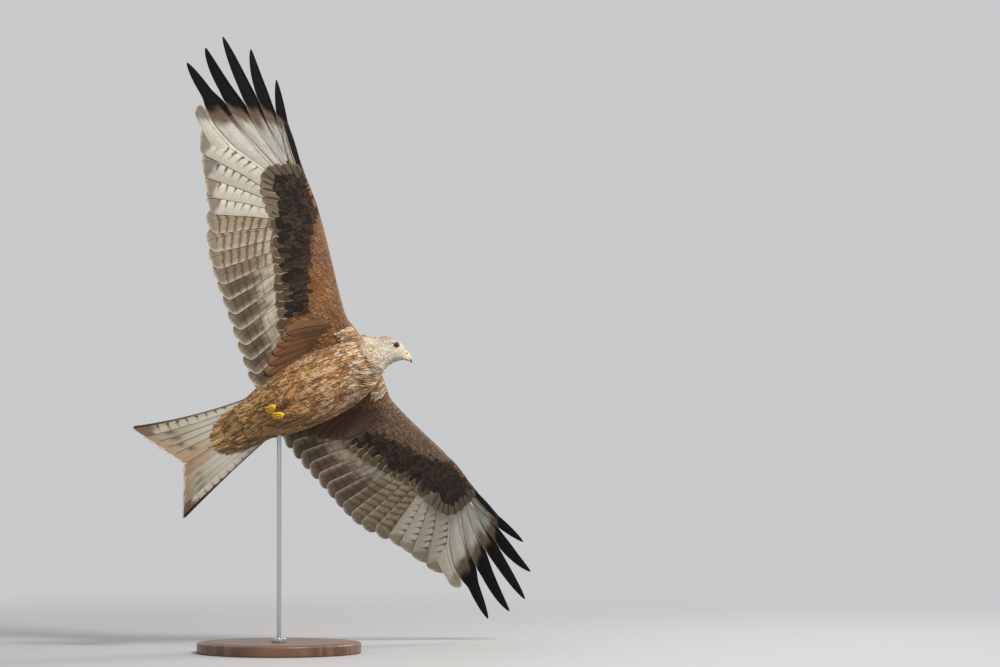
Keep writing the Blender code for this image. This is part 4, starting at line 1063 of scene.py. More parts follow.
def tail_colour(number, s, x, side):
    """Colours of half a tail; number runs from 0 in the middle to the outermost feather."""
    last = number == TAIL_FEATHERS - 1
    # below
    wild = speckle(s * 14, x * 3 + number * 5.3, 25)
    low = mix(srgb(204, 199, 187), srgb(166, 157, 138), ease((x + 0.5) / 1.2) * 0.6 + 0.25 * wild)
    low = mix(low, srgb(158, 143, 118), ease((s - 0.40) / 0.45) * 0.55 * ~last)
    low = mix(low, srgb(180, 138, 98), (1 - ease((number - 0.1) / 2.2)) * ease((s - 0.35) / 0.5) * 0.75)
    low = mix(low, srgb(160, 129, 98), ease((s - 0.84 + 0.05 * wild) / 0.14) * 0.7 * ~last)
    # painted shade: the right half lies in shade, so its underside is darker, more so towards the tip
    if side < 0:
        low = mix(low, srgb(138, 126, 102), (0.26 + 0.20 * ease((s - 0.3) / 0.5)))
    from_smudge = s - 0.80 + 0.05 * (wild - 0.5) + 0.02 * np.sin(number * 2.1)
    smudge = np.exp(-(from_smudge / 0.045) ** 2 - ((x - 0.05) / 0.55) ** 2)
    smudge = smudge * ((number > (0 if side < 0 else 1)) & ~last)
    low = mix(low, srgb(78, 62, 49), smudge * (0.85 if side < 0 else 0.55))
    low = mix(low, srgb(104, 84, 66), last * ease((s - 0.80 + 0.05 * x + 0.05 * (wild - 0.5)) / 0.09) * 0.95)
    outer_web = 0.74 - (0.36 * ease((s - 0.30) / 0.6) if side > 0 else 0.06 * ease((s - 0.35) / 0.5))
    pale_line = last * (x > outer_web - 0.15) * (1 - ease((s - 0.45) / 0.2))
    low = mix(low, srgb(222, 216, 203), pale_line * 0.9)
    low = mix(low, srgb(40, 30, 25), last * ease((x - outer_web + 0.04) / 0.05))
    ticks = last * np.where(x < 0.56, 0.80 - 0.45 * np.clip((0.56 - x) / 0.70, 0, 1.4) * (1.5 - s), 0.0)
    ticks = ticks * (1 - ease((s - 0.80) / 0.06)) * ease((s - 0.12) / 0.1)
    ticks = np.where(last, ticks * (0.88 if side < 0 else 0.66), 0.0)
    # above
    high = mix(srgb(190, 106, 54), srgb(164, 88, 44), ease((x - 0.1) / 0.8))
    high = mix(high, srgb(58, 42, 34), last * ease((x - 0.6) / 0.2))
    high = mix(high, srgb(70, 48, 36), np.exp(-((s - 0.90) / 0.045) ** 2) * (0.35 + 0.5 * last))
    rim = 0.9 * ease((s - 0.945) / 0.04)
    mark = np.where(last[..., None], srgb(66, 52, 42), mix(low, srgb(110, 92, 70), 0.4))
    # darker edges on the feathers below: thin on the left half, wide and strong on the right half, where they
    # are painted shade between the overlapping feathers
    edge = np.abs(x) > (0.87 if side < 0 else 0.999)
    low = np.where(edge[..., None], mix(low, srgb(92, 75, 58), (0.62 if side < 0 else 0.4) * (s < 0.95)), low)
    high = np.where(edge[..., None], low, high)
    shaft_x = np.where(last, 0.62, 0.42)
    return {
        "ground": (high, low), "mark": (srgb(96, 58, 34), mark), "edging": srgb(238, 230, 216),
        "code": (code(13.0, 0.22, 0.0), code(12.0, ticks, 0.0)),
        "code2": (code(rim, shaft_x, 0.8), code(rim, shaft_x, np.where(last, 1.0, 0.35))),
    }


def make_tail(side, name):
    K, N, M = TAIL_FEATHERS, 46, 19
    s1, xs = np.tile(stations(N, 1.3), (K, 1)), np.linspace(-1, 1, M)
    number, s, x = np.broadcast_arrays(np.arange(K)[:, None, None], s1[:, :, None], xs[None, None])
    last = number == K - 1
    outer = np.where(last, 1.0, (number + 1.12) / K)
    inner = np.maximum((number - 0.62) / K, -0.012)
    q = inner + (outer - inner) * (x + 1) / 2
    end = 1.006 - np.where(last, 0.012, 0.024) * np.abs(x) ** 2.6 - 0.022 * last * np.maximum(x, 0) ** 9
    r = np.random.default_rng(81 + (side > 0))
    end = end + r.uniform(-0.006, 0.006, (K, 1, 1)) * ~last + r.uniform(-0.004, 0.002, (K, 1, M)) * ~last
    p = s * end
    end_f = TAIL_NOTCH_F + (TAIL_TIP_F - TAIL_NOTCH_F) * np.maximum(q, 0)
    f = TAIL_ROOT_F + (end_f - TAIL_ROOT_F) * p
    l = q * (TAIL_ROOT_HALF + (TAIL_TIP_L - TAIL_ROOT_HALF) * p + TAIL_BOW * 4 * p * (1 - p))
    share = (2.5 - number) * 0.00028
    u = tail_height(f, np.abs(l)) + share + 0.0006 * x * (1 - 0.35 * s) + 0.0004 * side * (number == 0)
    deep = (0.00062 - 0.0002 * s) * np.sqrt(np.maximum(1 - x ** 2, 0))
    top, bottom = bird(f, side * l, u + deep), bird(f, side * l, u - deep)
    half = np.linalg.norm(top[:, :, -1] - top[:, :, 0], axis=-1) / 2
    length = np.linalg.norm(np.diff(top[:, :, M // 2], axis=1), axis=-1).sum(1)
    to_tip = (1 - s) * length[:, None, None]
    data = feather_data(xs, s1, half, length, r.uniform(0, 1, K), 0.55, to_tip)
    data.update(tail_colour(number, s, x, side))
    obj = sheet_mesh(f"tail_feathers_{name}", top, bottom, data, own_uv(number, xs, s1))
    dress(obj, "plumage_tail", f"tail_{name}")


for half_tail in SIDES:
    make_tail(*half_tail)

# ---------------------------------------------------------------- contour feathers of body and legs
ROWS, COLUMNS = 441, 73             # size of the table of ways along and round the body's surface
TABLE_N = np.linspace(0.0, FACE, ROWS)
TABLE_T = np.linspace(0.0, 2 * pi, COLUMNS)
table = body_surface(TABLE_N[:, None], TABLE_T[None])
run = np.concatenate([np.zeros((1, COLUMNS)), np.cumsum(np.linalg.norm(np.diff(table, axis=0), axis=-1), 0)])
around = np.concatenate([np.zeros((ROWS, 1)), np.cumsum(np.linalg.norm(np.diff(table, axis=1), axis=-1), 1)], 1)
coat_points, coat_tones = [], []    # roots and colours that the skin takes its markings from


def body_walk(n, theta, distance):
    """Section numbers at distances back along the body, and how far past its end each would be."""
    column = np.rint(np.mod(theta, 2 * pi) / (2 * pi) * 72).astype(int)
    out, past = np.empty(distance.shape), np.zeros(distance.shape)
    for k in np.unique(column):
        pick = column == k
        here = np.interp(n[pick], TABLE_N, run[:, k])[:, None] - distance[pick]
        out[pick] = np.interp(here, run[:, k], TABLE_N)
        past[pick] = np.maximum(-here, 0)
    return out, past


def body_uv(n, theta):
    return np.stack([0.01 + 0.97 * np.mod(theta, 2 * pi) / (2 * pi), 0.01 + 0.97 * n / FACE], -1)


def lay_tufts(name, frame_of, walk, a, theta, sizes, colours, uv, seed, N=6, M=5, slot="plumage_rufous",
              keep=None, drift=0.08, slope=0.0, beyond=0.006):
    """Tufts over a surface.

    sizes holds length, half width, depth of the root, rise of the tip, the local radius and the way to the
    surface's rear end; beyond is how far a tuft may pass that end.
    """
    length, half, depth, rise, radius, limit = sizes
    r = np.random.default_rng(seed)
    K = len(a)
    chance = r.uniform(0, 1, K)
    s1 = stations(N, 1.2)
    d = s1[None] * np.minimum(length * r.uniform(0.8, 1.2, K), limit + r.uniform(0.001, beyond, K))[:, None]
    place, past = walk(a, theta, d)
    swirl = 0.14 * (speckle(a * 1.3, theta * 4 / pi, seed) - 0.5)
    turn = theta[:, None] + ((r.normal(0, drift, K) + swirl + slope) / radius)[:, None] * d
    point, normal, along, _ = frame_of(place, turn)
    out = -depth[:, None] + (depth + rise * r.uniform(0.4, 1.6, K))[:, None] * s1[None] ** 0.8
    centre = point + along * past[..., None] + normal * out[..., None]
    if keep is not None:
        chosen = keep(centre)
        centre, normal, along, d, chance = (v[chosen] for v in (centre, normal, along, d, chance))
        a, theta, half = a[chosen], theta[chosen], half[chosen]
        K = len(a)
    profile = np.interp(s1, (0, 0.3, 0.6, 0.85, 1), (0.55, 1.0, 0.92, 0.58, 0.08))
    wide = half[:, None] * profile[None] * r.uniform(0.85, 1.15, K)[:, None]
    side = np.cross(normal, along) * wide[..., None]
    xs = np.linspace(-1, 1, M)
    top, bottom = lens(centre, side, normal, xs, 0.00042, 0.25 * wide.mean(1) * 0.35)
    s = np.broadcast_to(s1, (K, N))
    data = feather_data(xs, s, wide, d[:, -1], chance, 2.0)
    ground, mark, edging, streak, rim = colours(a, theta, chance)
    line = np.interp(half * MM, (1.2, 2.2), (0.15, 0.6))
    whole = np.broadcast_to(s[:, :, None], (K, N, M))
    data.update(flat_paint(ground, mark, edging, streak, rim, line=line)(whole, None))
    u, v = uv(a, theta).T
    coat_points.append(centre[:, 0])
    coat_tones.append(ground)
    dress(sheet_mesh(name, top, bottom, data, patch_uv(u, v, xs, s)), slot)


def ramp(n, knots, colours):
    colours = np.array(colours)
    return np.stack([np.interp(n, knots, colours[:, k]) for k in range(3)], -1)


# section numbers from the tail coverts (0) to the bill (22), and the feathers' sizes there in millimetres
SIZE_N = (0, 3, 6, 9, 12, 13.5, 15, 17, 18.5, 20, 22)
LENGTH_MM = (38, 40, 38, 35, 31, 30, 21, 11, 7.5, 4.8, 3.6)
HALF_MM = (3.0, 2.9, 2.7, 2.5, 2.3, 2.1, 1.8, 1.4, 1.10, 0.85, 0.7)
PITCH_MM = (11.5, 11.5, 11.5, 11.0, 10.0, 8.0, 5.6, 3.8, 2.4, 1.6, 1.35)
DEPTH_MM = (1.3, 2.6, 3.5, 3.5, 3.5, 3.2, 2.6, 1.5, 1.1, 0.9, 0.8)
RISE_MM = (0.6, 0.9, 1.1, 1.1, 1.1, 1.8, 1.2, 0.5, 0.35, 0.25, 0.2)


def body_layout(low, high, seed):
    r = np.random.default_rng(seed)
    mean_run = run.mean(1)
    all_n, all_t, n, odd = [], [], high, 0
    while n > low:
        half = np.interp(n, SIZE_N, HALF_MM) / 1000
        per = (np.interp(n + 0.05, TABLE_N, mean_run) - np.interp(n - 0.05, TABLE_N, mean_run)) / 0.1
        per = max(per, 0.002)
        step = np.interp(n, SIZE_N, PITCH_MM) / 1000 / per
        i = int(np.clip(np.searchsorted(TABLE_N, n), 0, len(TABLE_N) - 1))
        count = int(around[i, -1] / (half * 1.12))
        share = np.mod((np.arange(count) + 0.5 * (odd % 2) + r.uniform(-0.32, 0.32, count)) / count, 1.0)
        all_t.append(np.interp(share * around[i, -1], around[i], TABLE_T))
        all_n.append(np.clip(n + r.uniform(-0.35, 0.35, count) * step, 0, FACE))
        n -= step
        odd += 1
    return np.concatenate(all_n), np.concatenate(all_t)


BACK_N = (0, 5, 6.5, 9, 11, 13, 15, 17, 19, 22)
BACK_GROUND = (srgb(172, 108, 62), srgb(158, 98, 58), srgb(112, 80, 56), srgb(118, 82, 55),
               srgb(138, 92, 57), srgb(158, 114, 76), srgb(184, 154, 120), srgb(198, 186, 166),
               srgb(204, 197, 183), srgb(210, 204, 192))
BACK_MARK = (srgb(120, 76, 46), srgb(110, 70, 44), srgb(66, 49, 37), srgb(66, 48, 37),
             srgb(76, 54, 39), srgb(94, 68, 48), srgb(112, 86, 62), srgb(128, 110, 90),
             srgb(146, 132, 114), srgb(158, 146, 130))
BACK_STREAK = (0.15, 0.2, 0.30, 0.30, 0.30, 0.30, 0.30, 0.26, 0.20, 0.15)
# feathers below are of three kinds: rufous, pale and dark; the shares say how many are pale and how many dark
BELLY_N = (0, 3.5, 6.0, 8.0, 9.5, 11.0, 12.5, 14.0, 15.5, 17.0, 22)
BELLY_MID = (srgb(158, 122, 76), srgb(156, 119, 71), srgb(168, 126, 71), srgb(175, 126, 69),
             srgb(180, 125, 65), srgb(182, 126, 66), srgb(184, 131, 74), srgb(192, 151, 102),
             srgb(200, 180, 150), srgb(201, 195, 180), srgb(204, 199, 186))
BELLY_PALE = (srgb(190, 158, 111), srgb(186, 152, 103), srgb(196, 164, 118), srgb(204, 173, 129),
              srgb(212, 186, 147), srgb(220, 201, 170), srgb(224, 211, 188), srgb(224, 214, 194),
              srgb(220, 212, 196), srgb(215, 209, 196), srgb(214, 209, 197))
BELLY_DARK = (srgb(104, 78, 47), srgb(96, 71, 43), srgb(104, 75, 45), srgb(110, 76, 44),
              srgb(116, 77, 43), srgb(120, 78, 43), srgb(126, 84, 50), srgb(150, 116, 82),
              srgb(178, 156, 128), srgb(188, 178, 162), srgb(194, 187, 173))
PALE_SHARE = (0.20, 0.22, 0.20, 0.18, 0.20, 0.26, 0.36, 0.46, 0.58, 0.68, 0.75)
DARK_SHARE = (0.30, 0.34, 0.32, 0.30, 0.28, 0.26, 0.24, 0.20, 0.14, 0.08, 0.05)


def belly_colours(n, clump, chance):
    kind = 0.56 * clump + 0.44 * chance
    kind = ease((kind - 0.18) / 0.64)
    pale = ease((kind - 1 + np.interp(n, BELLY_N, PALE_SHARE)) / 0.26 + 0.5)
    dark = ease((np.interp(n, BELLY_N, DARK_SHARE) - kind) / 0.30 + 0.5)
    middle = ramp(n, BELLY_N, BELLY_MID)
    ground = mix(mix(middle, ramp(n, BELLY_N, BELLY_PALE), pale), ramp(n, BELLY_N, BELLY_DARK), dark)
    mark = mix(ramp(n, BELLY_N, BELLY_DARK), middle, pale * 0.65)
    mark = mix(mark, srgb(74, 48, 28), dark * 0.6 * (n < 15))
    edging = mix(ground, ramp(n, BELLY_N, BELLY_PALE), 0.35 + 0.3 * pale)
    streak = (0.14 + 0.14 * pale) * np.interp(n, (0, 8, 15, 17), (1.0, 1.2, 0.9, 0.35))
    return ground, mark, edging, streak, 0.32 + 0 * n


def tail_uv(root, xs, s):
    """A small patch at each root's place on the plan of the tail."""
    return patch_uv(0.5 + 4 * root[:, 1], 0.5 + 2 * (root[:, 0] + 0.09), xs, s)


def make_tail_fringe(side, name):
    """Loose tufts that break the rear edge of the coverts under the tail."""
    def colours(tips, chance):
        return belly_colours(np.full(K, 1.5), speckle(tips[:, 1] / 0.008, tips[:, 0] / 0.03, 133), chance)

    r = np.random.default_rng(131 + (side > 0))
    x = np.repeat(np.linspace(0.35, 0.99, 26), 3)
    K = len(x)
    roots = np.stack([TAIL_ROOT_F - COVERT_LENGTH * x * r.uniform(0.84, 0.97, K),
                      TAIL_ROOT_HALF * np.sqrt(1 - x ** 2.4) * r.uniform(0.70, 0.94, K)], 1)
    turn = 0.03 + 1.0 * roots[:, 1] + r.normal(0, 0.13, K)
    tips = roots + np.stack([-np.cos(turn), np.sin(turn)], 1) * r.uniform(0.020, 0.036, K)[:, None]
    plan_batch(f"feathers_tail_fringe_{name}", side, roots, tips, r.uniform(0.0024, 0.0032, K), -1, colours,
               135 + (side > 0), "plumage_rufous", N=9, M=5, blunt=0.35, lift0=0.0062, lift1=0.0014,
               thick=0.0005, height=tail_height, uv=tail_uv)


for half_tail in SIDES:
    make_tail_fringe(*half_tail)


def make_shoulder(side, name):
    """Streaked feathers from the neck over the first part of the wing's leading edge, on both faces."""
    def colours(tips, chance):
        return belly_colours(np.full(K, 13.2), speckle(tips[:, 1] / 0.006, tips[:, 0] / 0.02, 143), chance)

    for out, label in ((-1, "under"), (1, "upper")):
        r = np.random.default_rng(141 + (side > 0))
        l, behind = np.meshgrid(np.linspace(0.045, 0.088, 11), np.linspace(0.001, 0.026, 6))
        l, behind = l.ravel(), behind.ravel()
        K = len(l)
        l = l + r.uniform(-0.002, 0.002, K)
        roots = np.stack([lead_f(l) - behind - r.uniform(0, 0.003, K), l], 1)
        turn = 0.30 + r.normal(0, 0.12, K)
        tips = roots + np.stack([-np.cos(turn), np.sin(turn)], 1) * r.uniform(0.016, 0.024, K)[:, None]
        plan_batch(f"feathers_shoulder_{label}_{name}", side, roots, tips, r.uniform(0.0022, 0.0030, K), out,
                   colours, 145 + (side > 0), "plumage_rufous", N=8, M=5, blunt=0.2, lift0=0.0002,
                   lift1=0.0030, thick=0.0005)


for shoulder in SIDES:
    make_shoulder(*shoulder)


def body_colours(n, theta, chance):
    belly = ease((np.sin(theta) + 0.35) / 0.6)
    # streaks: patches of one colour, four times as long as they are wide
    clump = speckle(np.interp(n, TABLE_N, run.mean(1)) / 0.032, theta * 32 / pi, 93)
    low = belly_colours(n, clump, chance)
    high_mark = mix(ramp(n, BACK_N, BACK_MARK), ramp(n, BACK_N, BACK_GROUND), 0.25)
    high_ground = mix(ramp(n, BACK_N, BACK_GROUND), high_mark, 0.35 * clump)
    high = (high_ground, high_mark, mix(high_ground, srgb(214, 160, 108), 0.6),
            np.interp(n, BACK_N, BACK_STREAK),
            np.interp(n, (0, 6, 10, 14, 18, 22), (0.3, 0.5, 0.6, 0.6, 0.3, 0.1)))
    # the head: streaked crown and nape, pale yellow lores, darker feathers behind the eye, and round the eye a
    # darker ring, partly its feathers and partly painted shade of the eye's hollow
    away = body_surface(n, theta) - EYE
    x, z = away[:, 0], away[:, 2]
    head = ease((n - 15.5) / 1.5)
    crown = head * ease((z - 0.0085 - 0.18 * np.minimum(x, 0)) / 0.006) * (1 - ease((x - 0.004) / 0.010))
    belly = np.maximum(belly, head * (1 - crown))
    ground, mark, edging = (mix(a, b, belly) for a, b in zip(high[:3], low[:3]))
    streak, rim = (a * (1 - belly) + b * belly for a, b in zip(high[3:], low[3:]))
    ground = mix(ground, mix(srgb(200, 178, 146), srgb(170, 140, 106), clump), crown * 0.65)
    mark = mix(mark, srgb(120, 92, 66), crown)
    streak = np.maximum(streak, 0.26 * crown)
    behind = np.exp(-((x + 0.011) / 0.006) ** 2 - ((z - 0.0045) / 0.0035) ** 2)
    # partly painted shade: the ring round the eye stands for darker feathers and the shade of the eye's hollow
    round_eye = np.exp(-((np.hypot(x, z) - 0.0085) / 0.0018) ** 2)
    ground = mix(ground, srgb(120, 98, 74), head * np.clip(0.55 * round_eye + 0.5 * behind, 0, 0.7))
    lores = np.exp(-((x - 0.0135) / 0.0065) ** 2 - ((z + 0.0150) / 0.0065) ** 2)
    ground = mix(ground, srgb(214, 207, 168), head * np.clip(1.1 * lores, 0, 0.7))
    edging = mix(edging, ground, head * np.clip(1.3 * lores, 0, 1))
    return ground, mark, edging, streak * (0.7 + 0.6 * chance), rim


def clear_of_eyes_and_gape(centre):
    away = centre - EYE
    flat = np.hypot(away[..., 0], away[..., 2])
    return (flat.min(1) > 0.0063) | (np.abs(away[..., 1]).min(1) < 0.010)


def body_coat(name, low, high, seed, N, M, slot):
    n, theta = body_layout(low, high, seed)
    at = lambda values: np.interp(n, SIZE_N, values) / MM
    radius = np.interp(n, TABLE_N, around[:, -1]) / (2 * pi)
    sizes = (at(LENGTH_MM), at(HALF_MM), at(DEPTH_MM), at(RISE_MM), radius, np.interp(n, TABLE_N, run.mean(1)))
    # over the breast and the neck the feathers lie in planes through the line of flight that don't bank with
    # the body, not down the sections
    _, normal, along, _ = body_frame(n, theta)
    around_it = unit(body_surface(n, theta + 0.02) - body_surface(n, theta - 0.02))
    back = np.cross(normal, LEVEL_LEFT)
    sure = ease(np.linalg.norm(back, axis=-1) / 0.5)
    back = back * np.where((back * along).sum(-1) - 0.5 * (back @ FORWARD) > 0, 1.0, -1.0)[:, None]
    share = (np.cross(back, around_it) * normal).sum(-1)
    share = np.where(share < 0, np.minimum(share, -0.3), np.maximum(share, 0.3))
    slope = -(np.cross(back, along) * normal).sum(-1) / share
    slope = np.clip(slope, -1.3, 1.3) * sure * np.interp(n, (9.5, 11.5, 15.5, 17.5), (0, 1, 1, 0))
    lay_tufts(name, body_frame, body_walk, n, theta, sizes, body_colours, body_uv, seed + 1, N, M, slot,
              keep=clear_of_eyes_and_gape if high > 18 else None, slope=slope,
              beyond=0.026 if low < 1 else 0.006)


body_coat("feathers_tail_coverts", 0.3, 6.0, 101, 8, 5, "plumage_rufous")
body_coat("feathers_belly_rear", 6.0, 7.9, 103, 6, 5, "plumage_rufous")
body_coat("feathers_belly", 7.9, 9.6, 113, 6, 5, "plumage_rufous")
body_coat("feathers_breast", 9.6, 11.5, 105, 6, 5, "plumage_rufous")
body_coat("feathers_breast_front", 11.5, 13.4, 115, 6, 5, "plumage_rufous")
body_coat("feathers_ruff", 13.1, 14.4, 117, 6, 5, "plumage_rufous")
body_coat("feathers_neck", 13.4, 17.0, 107, 6, 5, "plumage_pale")
body_coat("feathers_head", 17.0, 21.9, 109, 5, 3, "plumage_pale")

LEGS = {
    "left": ((0.078, 0.018, -0.046), (0.018, -0.010, -0.073)),
    "right": ((0.074, -0.050, -0.042), (0.012, -0.040, -0.070)),
}
LEG_RADII = (0.005, 0.0115, 0.0160, 0.0162, 0.0125, 0.0085)
LEG_FLATNESS = 0.72


def leg_surface(name, t, phi, inset=0.0):
    thigh, ankle = (np.array(p) for p in LEGS[name])
    start, end = bird(*thigh), bird(*ankle)
    axis = unit(end - start)
    across = unit(np.cross(axis, UP))
    other = np.cross(axis, across)
    t, phi = np.broadcast_arrays(np.asarray(t, float), np.asarray(phi, float))
    radius = smooth(np.linspace(0, 1, 6), LEG_RADII, np.clip(t, 0, 1)) - inset
    out = across * np.cos(phi)[..., None] + other * np.sin(phi)[..., None]
    out = out - UP * (out @ UP)[..., None] * (1 - LEG_FLATNESS)
    return start + (end - start) * t[..., None] + out * radius[..., None]


def leg_uv(t, phi):
    return np.stack([0.01 + 0.97 * np.mod(phi, 2 * pi) / (2 * pi), 0.01 + 0.97 * np.clip(t, 0, 1)], -1)


def leg_coat(name, seed):
    reach = np.linalg.norm(np.subtract(*LEGS[name]))

    def frame_of(t, phi):
        h = 0.02
        point = leg_surface(name, t, phi)
        along = unit(leg_surface(name, t + h, phi) - leg_surface(name, t - h, phi))
        side = leg_surface(name, t, phi + h) - leg_surface(name, t, phi - h)
        normal = unit(np.cross(side, along))
        middle = leg_surface(name, t, phi, 0.0) + leg_surface(name, t, phi + pi, 0.0)
        normal = normal * np.sign(((point - middle / 2) * normal).sum(-1, keepdims=True))
        return point, normal, along, reach

    def walk(t, phi, distance):
        here = t[:, None] + distance / reach
        return np.minimum(here, 1.0), np.maximum(here - 1.0, 0) * reach

    def colours(t, phi, chance):
        clump = speckle(t * 5.0, phi * 16 / pi, 94)
        return belly_colours(7.6 - 1.0 * t, 0.12 + 0.62 * clump, chance)

    r = np.random.default_rng(seed)
    rows, count = 13, 34
    t = np.repeat(np.linspace(0.16, 0.94, rows), count)
    phi = np.tile(np.linspace(0, 2 * pi, count, endpoint=False), rows)
    phi = phi + np.repeat(np.arange(rows) % 2, count) * pi / count
    t, phi = t + r.uniform(-0.03, 0.03, len(t)), phi + r.uniform(-0.06, 0.06, len(t))
    K = len(t)
    sizes = (np.interp(t, (0, 0.6, 1), (0.036, 0.024, 0.0080)),
             np.interp(t, (0, 0.6, 1), (0.0027, 0.0024, 0.0014)),
             np.interp(t, (0, 0.3, 1), (0.0040, 0.004, 0.0014)), np.full(K, 0.0008), np.full(K, 0.016),
             np.maximum((1.0 - t) * reach, 0.002))
    lay_tufts(f"feathers_leg_{name}", frame_of, walk, t, phi, sizes, colours, leg_uv, seed + 1)


leg_coat("left", 121)
leg_coat("right", 123)


# ---------------------------------------------------------------- closed lofts
def loft_object(name, parts, material, slot, *replaced):
    """One mesh of closed lofts, each part its rings (R, P, 3) and its grid (R, P, 3); fans close the ends."""
    verts, faces, uvs, grids = [], [], [], []
    base = 0
    for index, (rings, grid) in enumerate(parts):
        R, P, _ = rings.shape
        verts += [rings.reshape(-1, 3), rings[0].mean(0)[None], rings[-1].mean(0)[None]]
        grids += [grid.reshape(-1, 3), grid[0].mean(0)[None], grid[-1].mean(0)[None]]
        left, width = index / len(parts), 0.96 / len(parts)
        u = lambda j: left + width * (0.01 + 0.98 * j / P)
        v = lambda i: 0.03 + 0.94 * i / (R - 1)
        for i in range(R - 1):
            for j in range(P):
                k, row = (j + 1) % P, base + i * P
                faces.append([row + j, row + k, row + P + k, row + P + j])
                uvs.append([(u(j), v(i)), (u(j + 1), v(i)), (u(j + 1), v(i + 1)), (u(j), v(i + 1))])
        for row, centre, v_end in ((0, base + R * P, 0.005), (R - 1, base + R * P + 1, 0.995)):
            for j in range(P):
                a, b = base + row * P + j, base + row * P + (j + 1) % P
                faces.append([b, a, centre] if row == 0 else [a, b, centre])
                corner = [(u(j + 1), v(row)), (u(j), v(row)), (u(j + 0.5), v_end)]
                uvs.append(corner if row == 0 else [corner[1], corner[0], corner[2]])
        base += R * P + 2
    me = bpy.data.meshes.new(name)
    me.from_pydata(np.concatenate(verts).tolist(), [], faces)
    flat = [c for face in uvs for corner in face for c in corner]
    me.uv_layers.new(name="OFBake").uv.foreach_set("vector", flat)
    add_vectors(me, "grid", np.concatenate(grids))
    shape = bmesh.new()
    shape.from_mesh(me)
    bmesh.ops.recalc_face_normals(shape, faces=shape.faces)
    shape.to_mesh(me)
    shape.free()
    me.shade_smooth()
    obj = add_object(name, me)
    me.materials.append(material)
    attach(obj, "root")
    if replaced:
        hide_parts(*replaced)
    return obj


def tube_rings(centres, radii, sides, up=(0.0, 0.0, 1.0)):
    """Rings round a line of centres."""
    along = unit(np.gradient(centres, axis=0))
    across = unit(np.cross(along, up))
    other = np.cross(across, along)
    angle = np.linspace(0, 2 * pi, sides, endpoint=False)[None, :, None]
    out = across[:, None] * np.cos(angle) + other[:, None] * np.sin(angle)
    return centres[:, None] + out * radii[:, None, None]


def mark_grid(rings):
    """A loft's grid: the way along in millimetres, the turn in radians and a free value."""
    along = np.concatenate([[0], np.cumsum(np.linalg.norm(np.diff(rings.mean(1), axis=0), axis=1))])
    turn = np.linspace(0, 2 * pi, rings.shape[1], endpoint=False)
    return np.stack(np.broadcast_arrays(along[:, None] * MM, turn[None], 0.0), -1)


# ---------------------------------------------------------------- skin
SKIN_VOXEL = 0.0024


def quads_of(rings, base):
    R, P, _ = rings.shape
    faces = []
    for row in range(base, base + (R - 1) * P, P):
        faces += [[row + j, row + (j + 1) % P, row + P + (j + 1) % P, row + P + j] for j in range(P)]
    return faces + [[base + j for j in range(P)][::-1], [base + (R - 1) * P + j for j in range(P)]]


def skin_parts():
    n = np.linspace(1.2, FACE - 0.02, 120)
    inset = np.interp(n, SIZE_N, DEPTH_MM) / 1000 + 0.0004
    theta = np.linspace(0, 2 * pi, 72, endpoint=False)
    yield body_surface(n[:, None], theta[None], inset[:, None] + 0 * theta[None])
    phi = np.linspace(0, 2 * pi, 28, endpoint=False)
    for side in (1, -1):
        end = np.linspace(0.045, 0.535, 80)[:, None]
        c = 0.186 + 0.174 * np.cos(phi)[None]
        start, lead, trail = edges_of(end)
        f, l = lead + (trail - lead) * c, start + (end - start) * c
        half = np.maximum(wing_thick(f, l) / 2 - 0.0014, 0.0009)
        yield bird(f, side * l, wing_mid(f, l) + 0.05 * half + np.sin(phi)[None] * half)
    t = np.linspace(0.0, 0.97, 24)[:, None]
    for name in LEGS:
        yield leg_surface(name, t, phi[None], np.interp(t, (0, 0.3, 1), (0.0040, 0.0042, 0.0015)))


def skin_material():
    g = Graph("skin_down")
    tone = g.attribute("tone", "Color")
    place = g.place()
    down = g.noise(place, 420.0, 3.0, 0.6)
    patches = g.noise(place, 60.0, 2.0)
    value = g.plus(0.62, g.times(g.plus(down, patches), 0.22))
    shade = g.node("ShaderNodeHueSaturation", Color=tone, Value=value, Saturation=0.95).outputs[0]
    rough = g.plus(0.82, g.times(down, 0.12))
    return g.finish(Base_Color=shade, Roughness=rough, Normal=g.bump(down, 0.0006), Specular_IOR_Level=0.2,
                    Sheen_Weight=0.15)


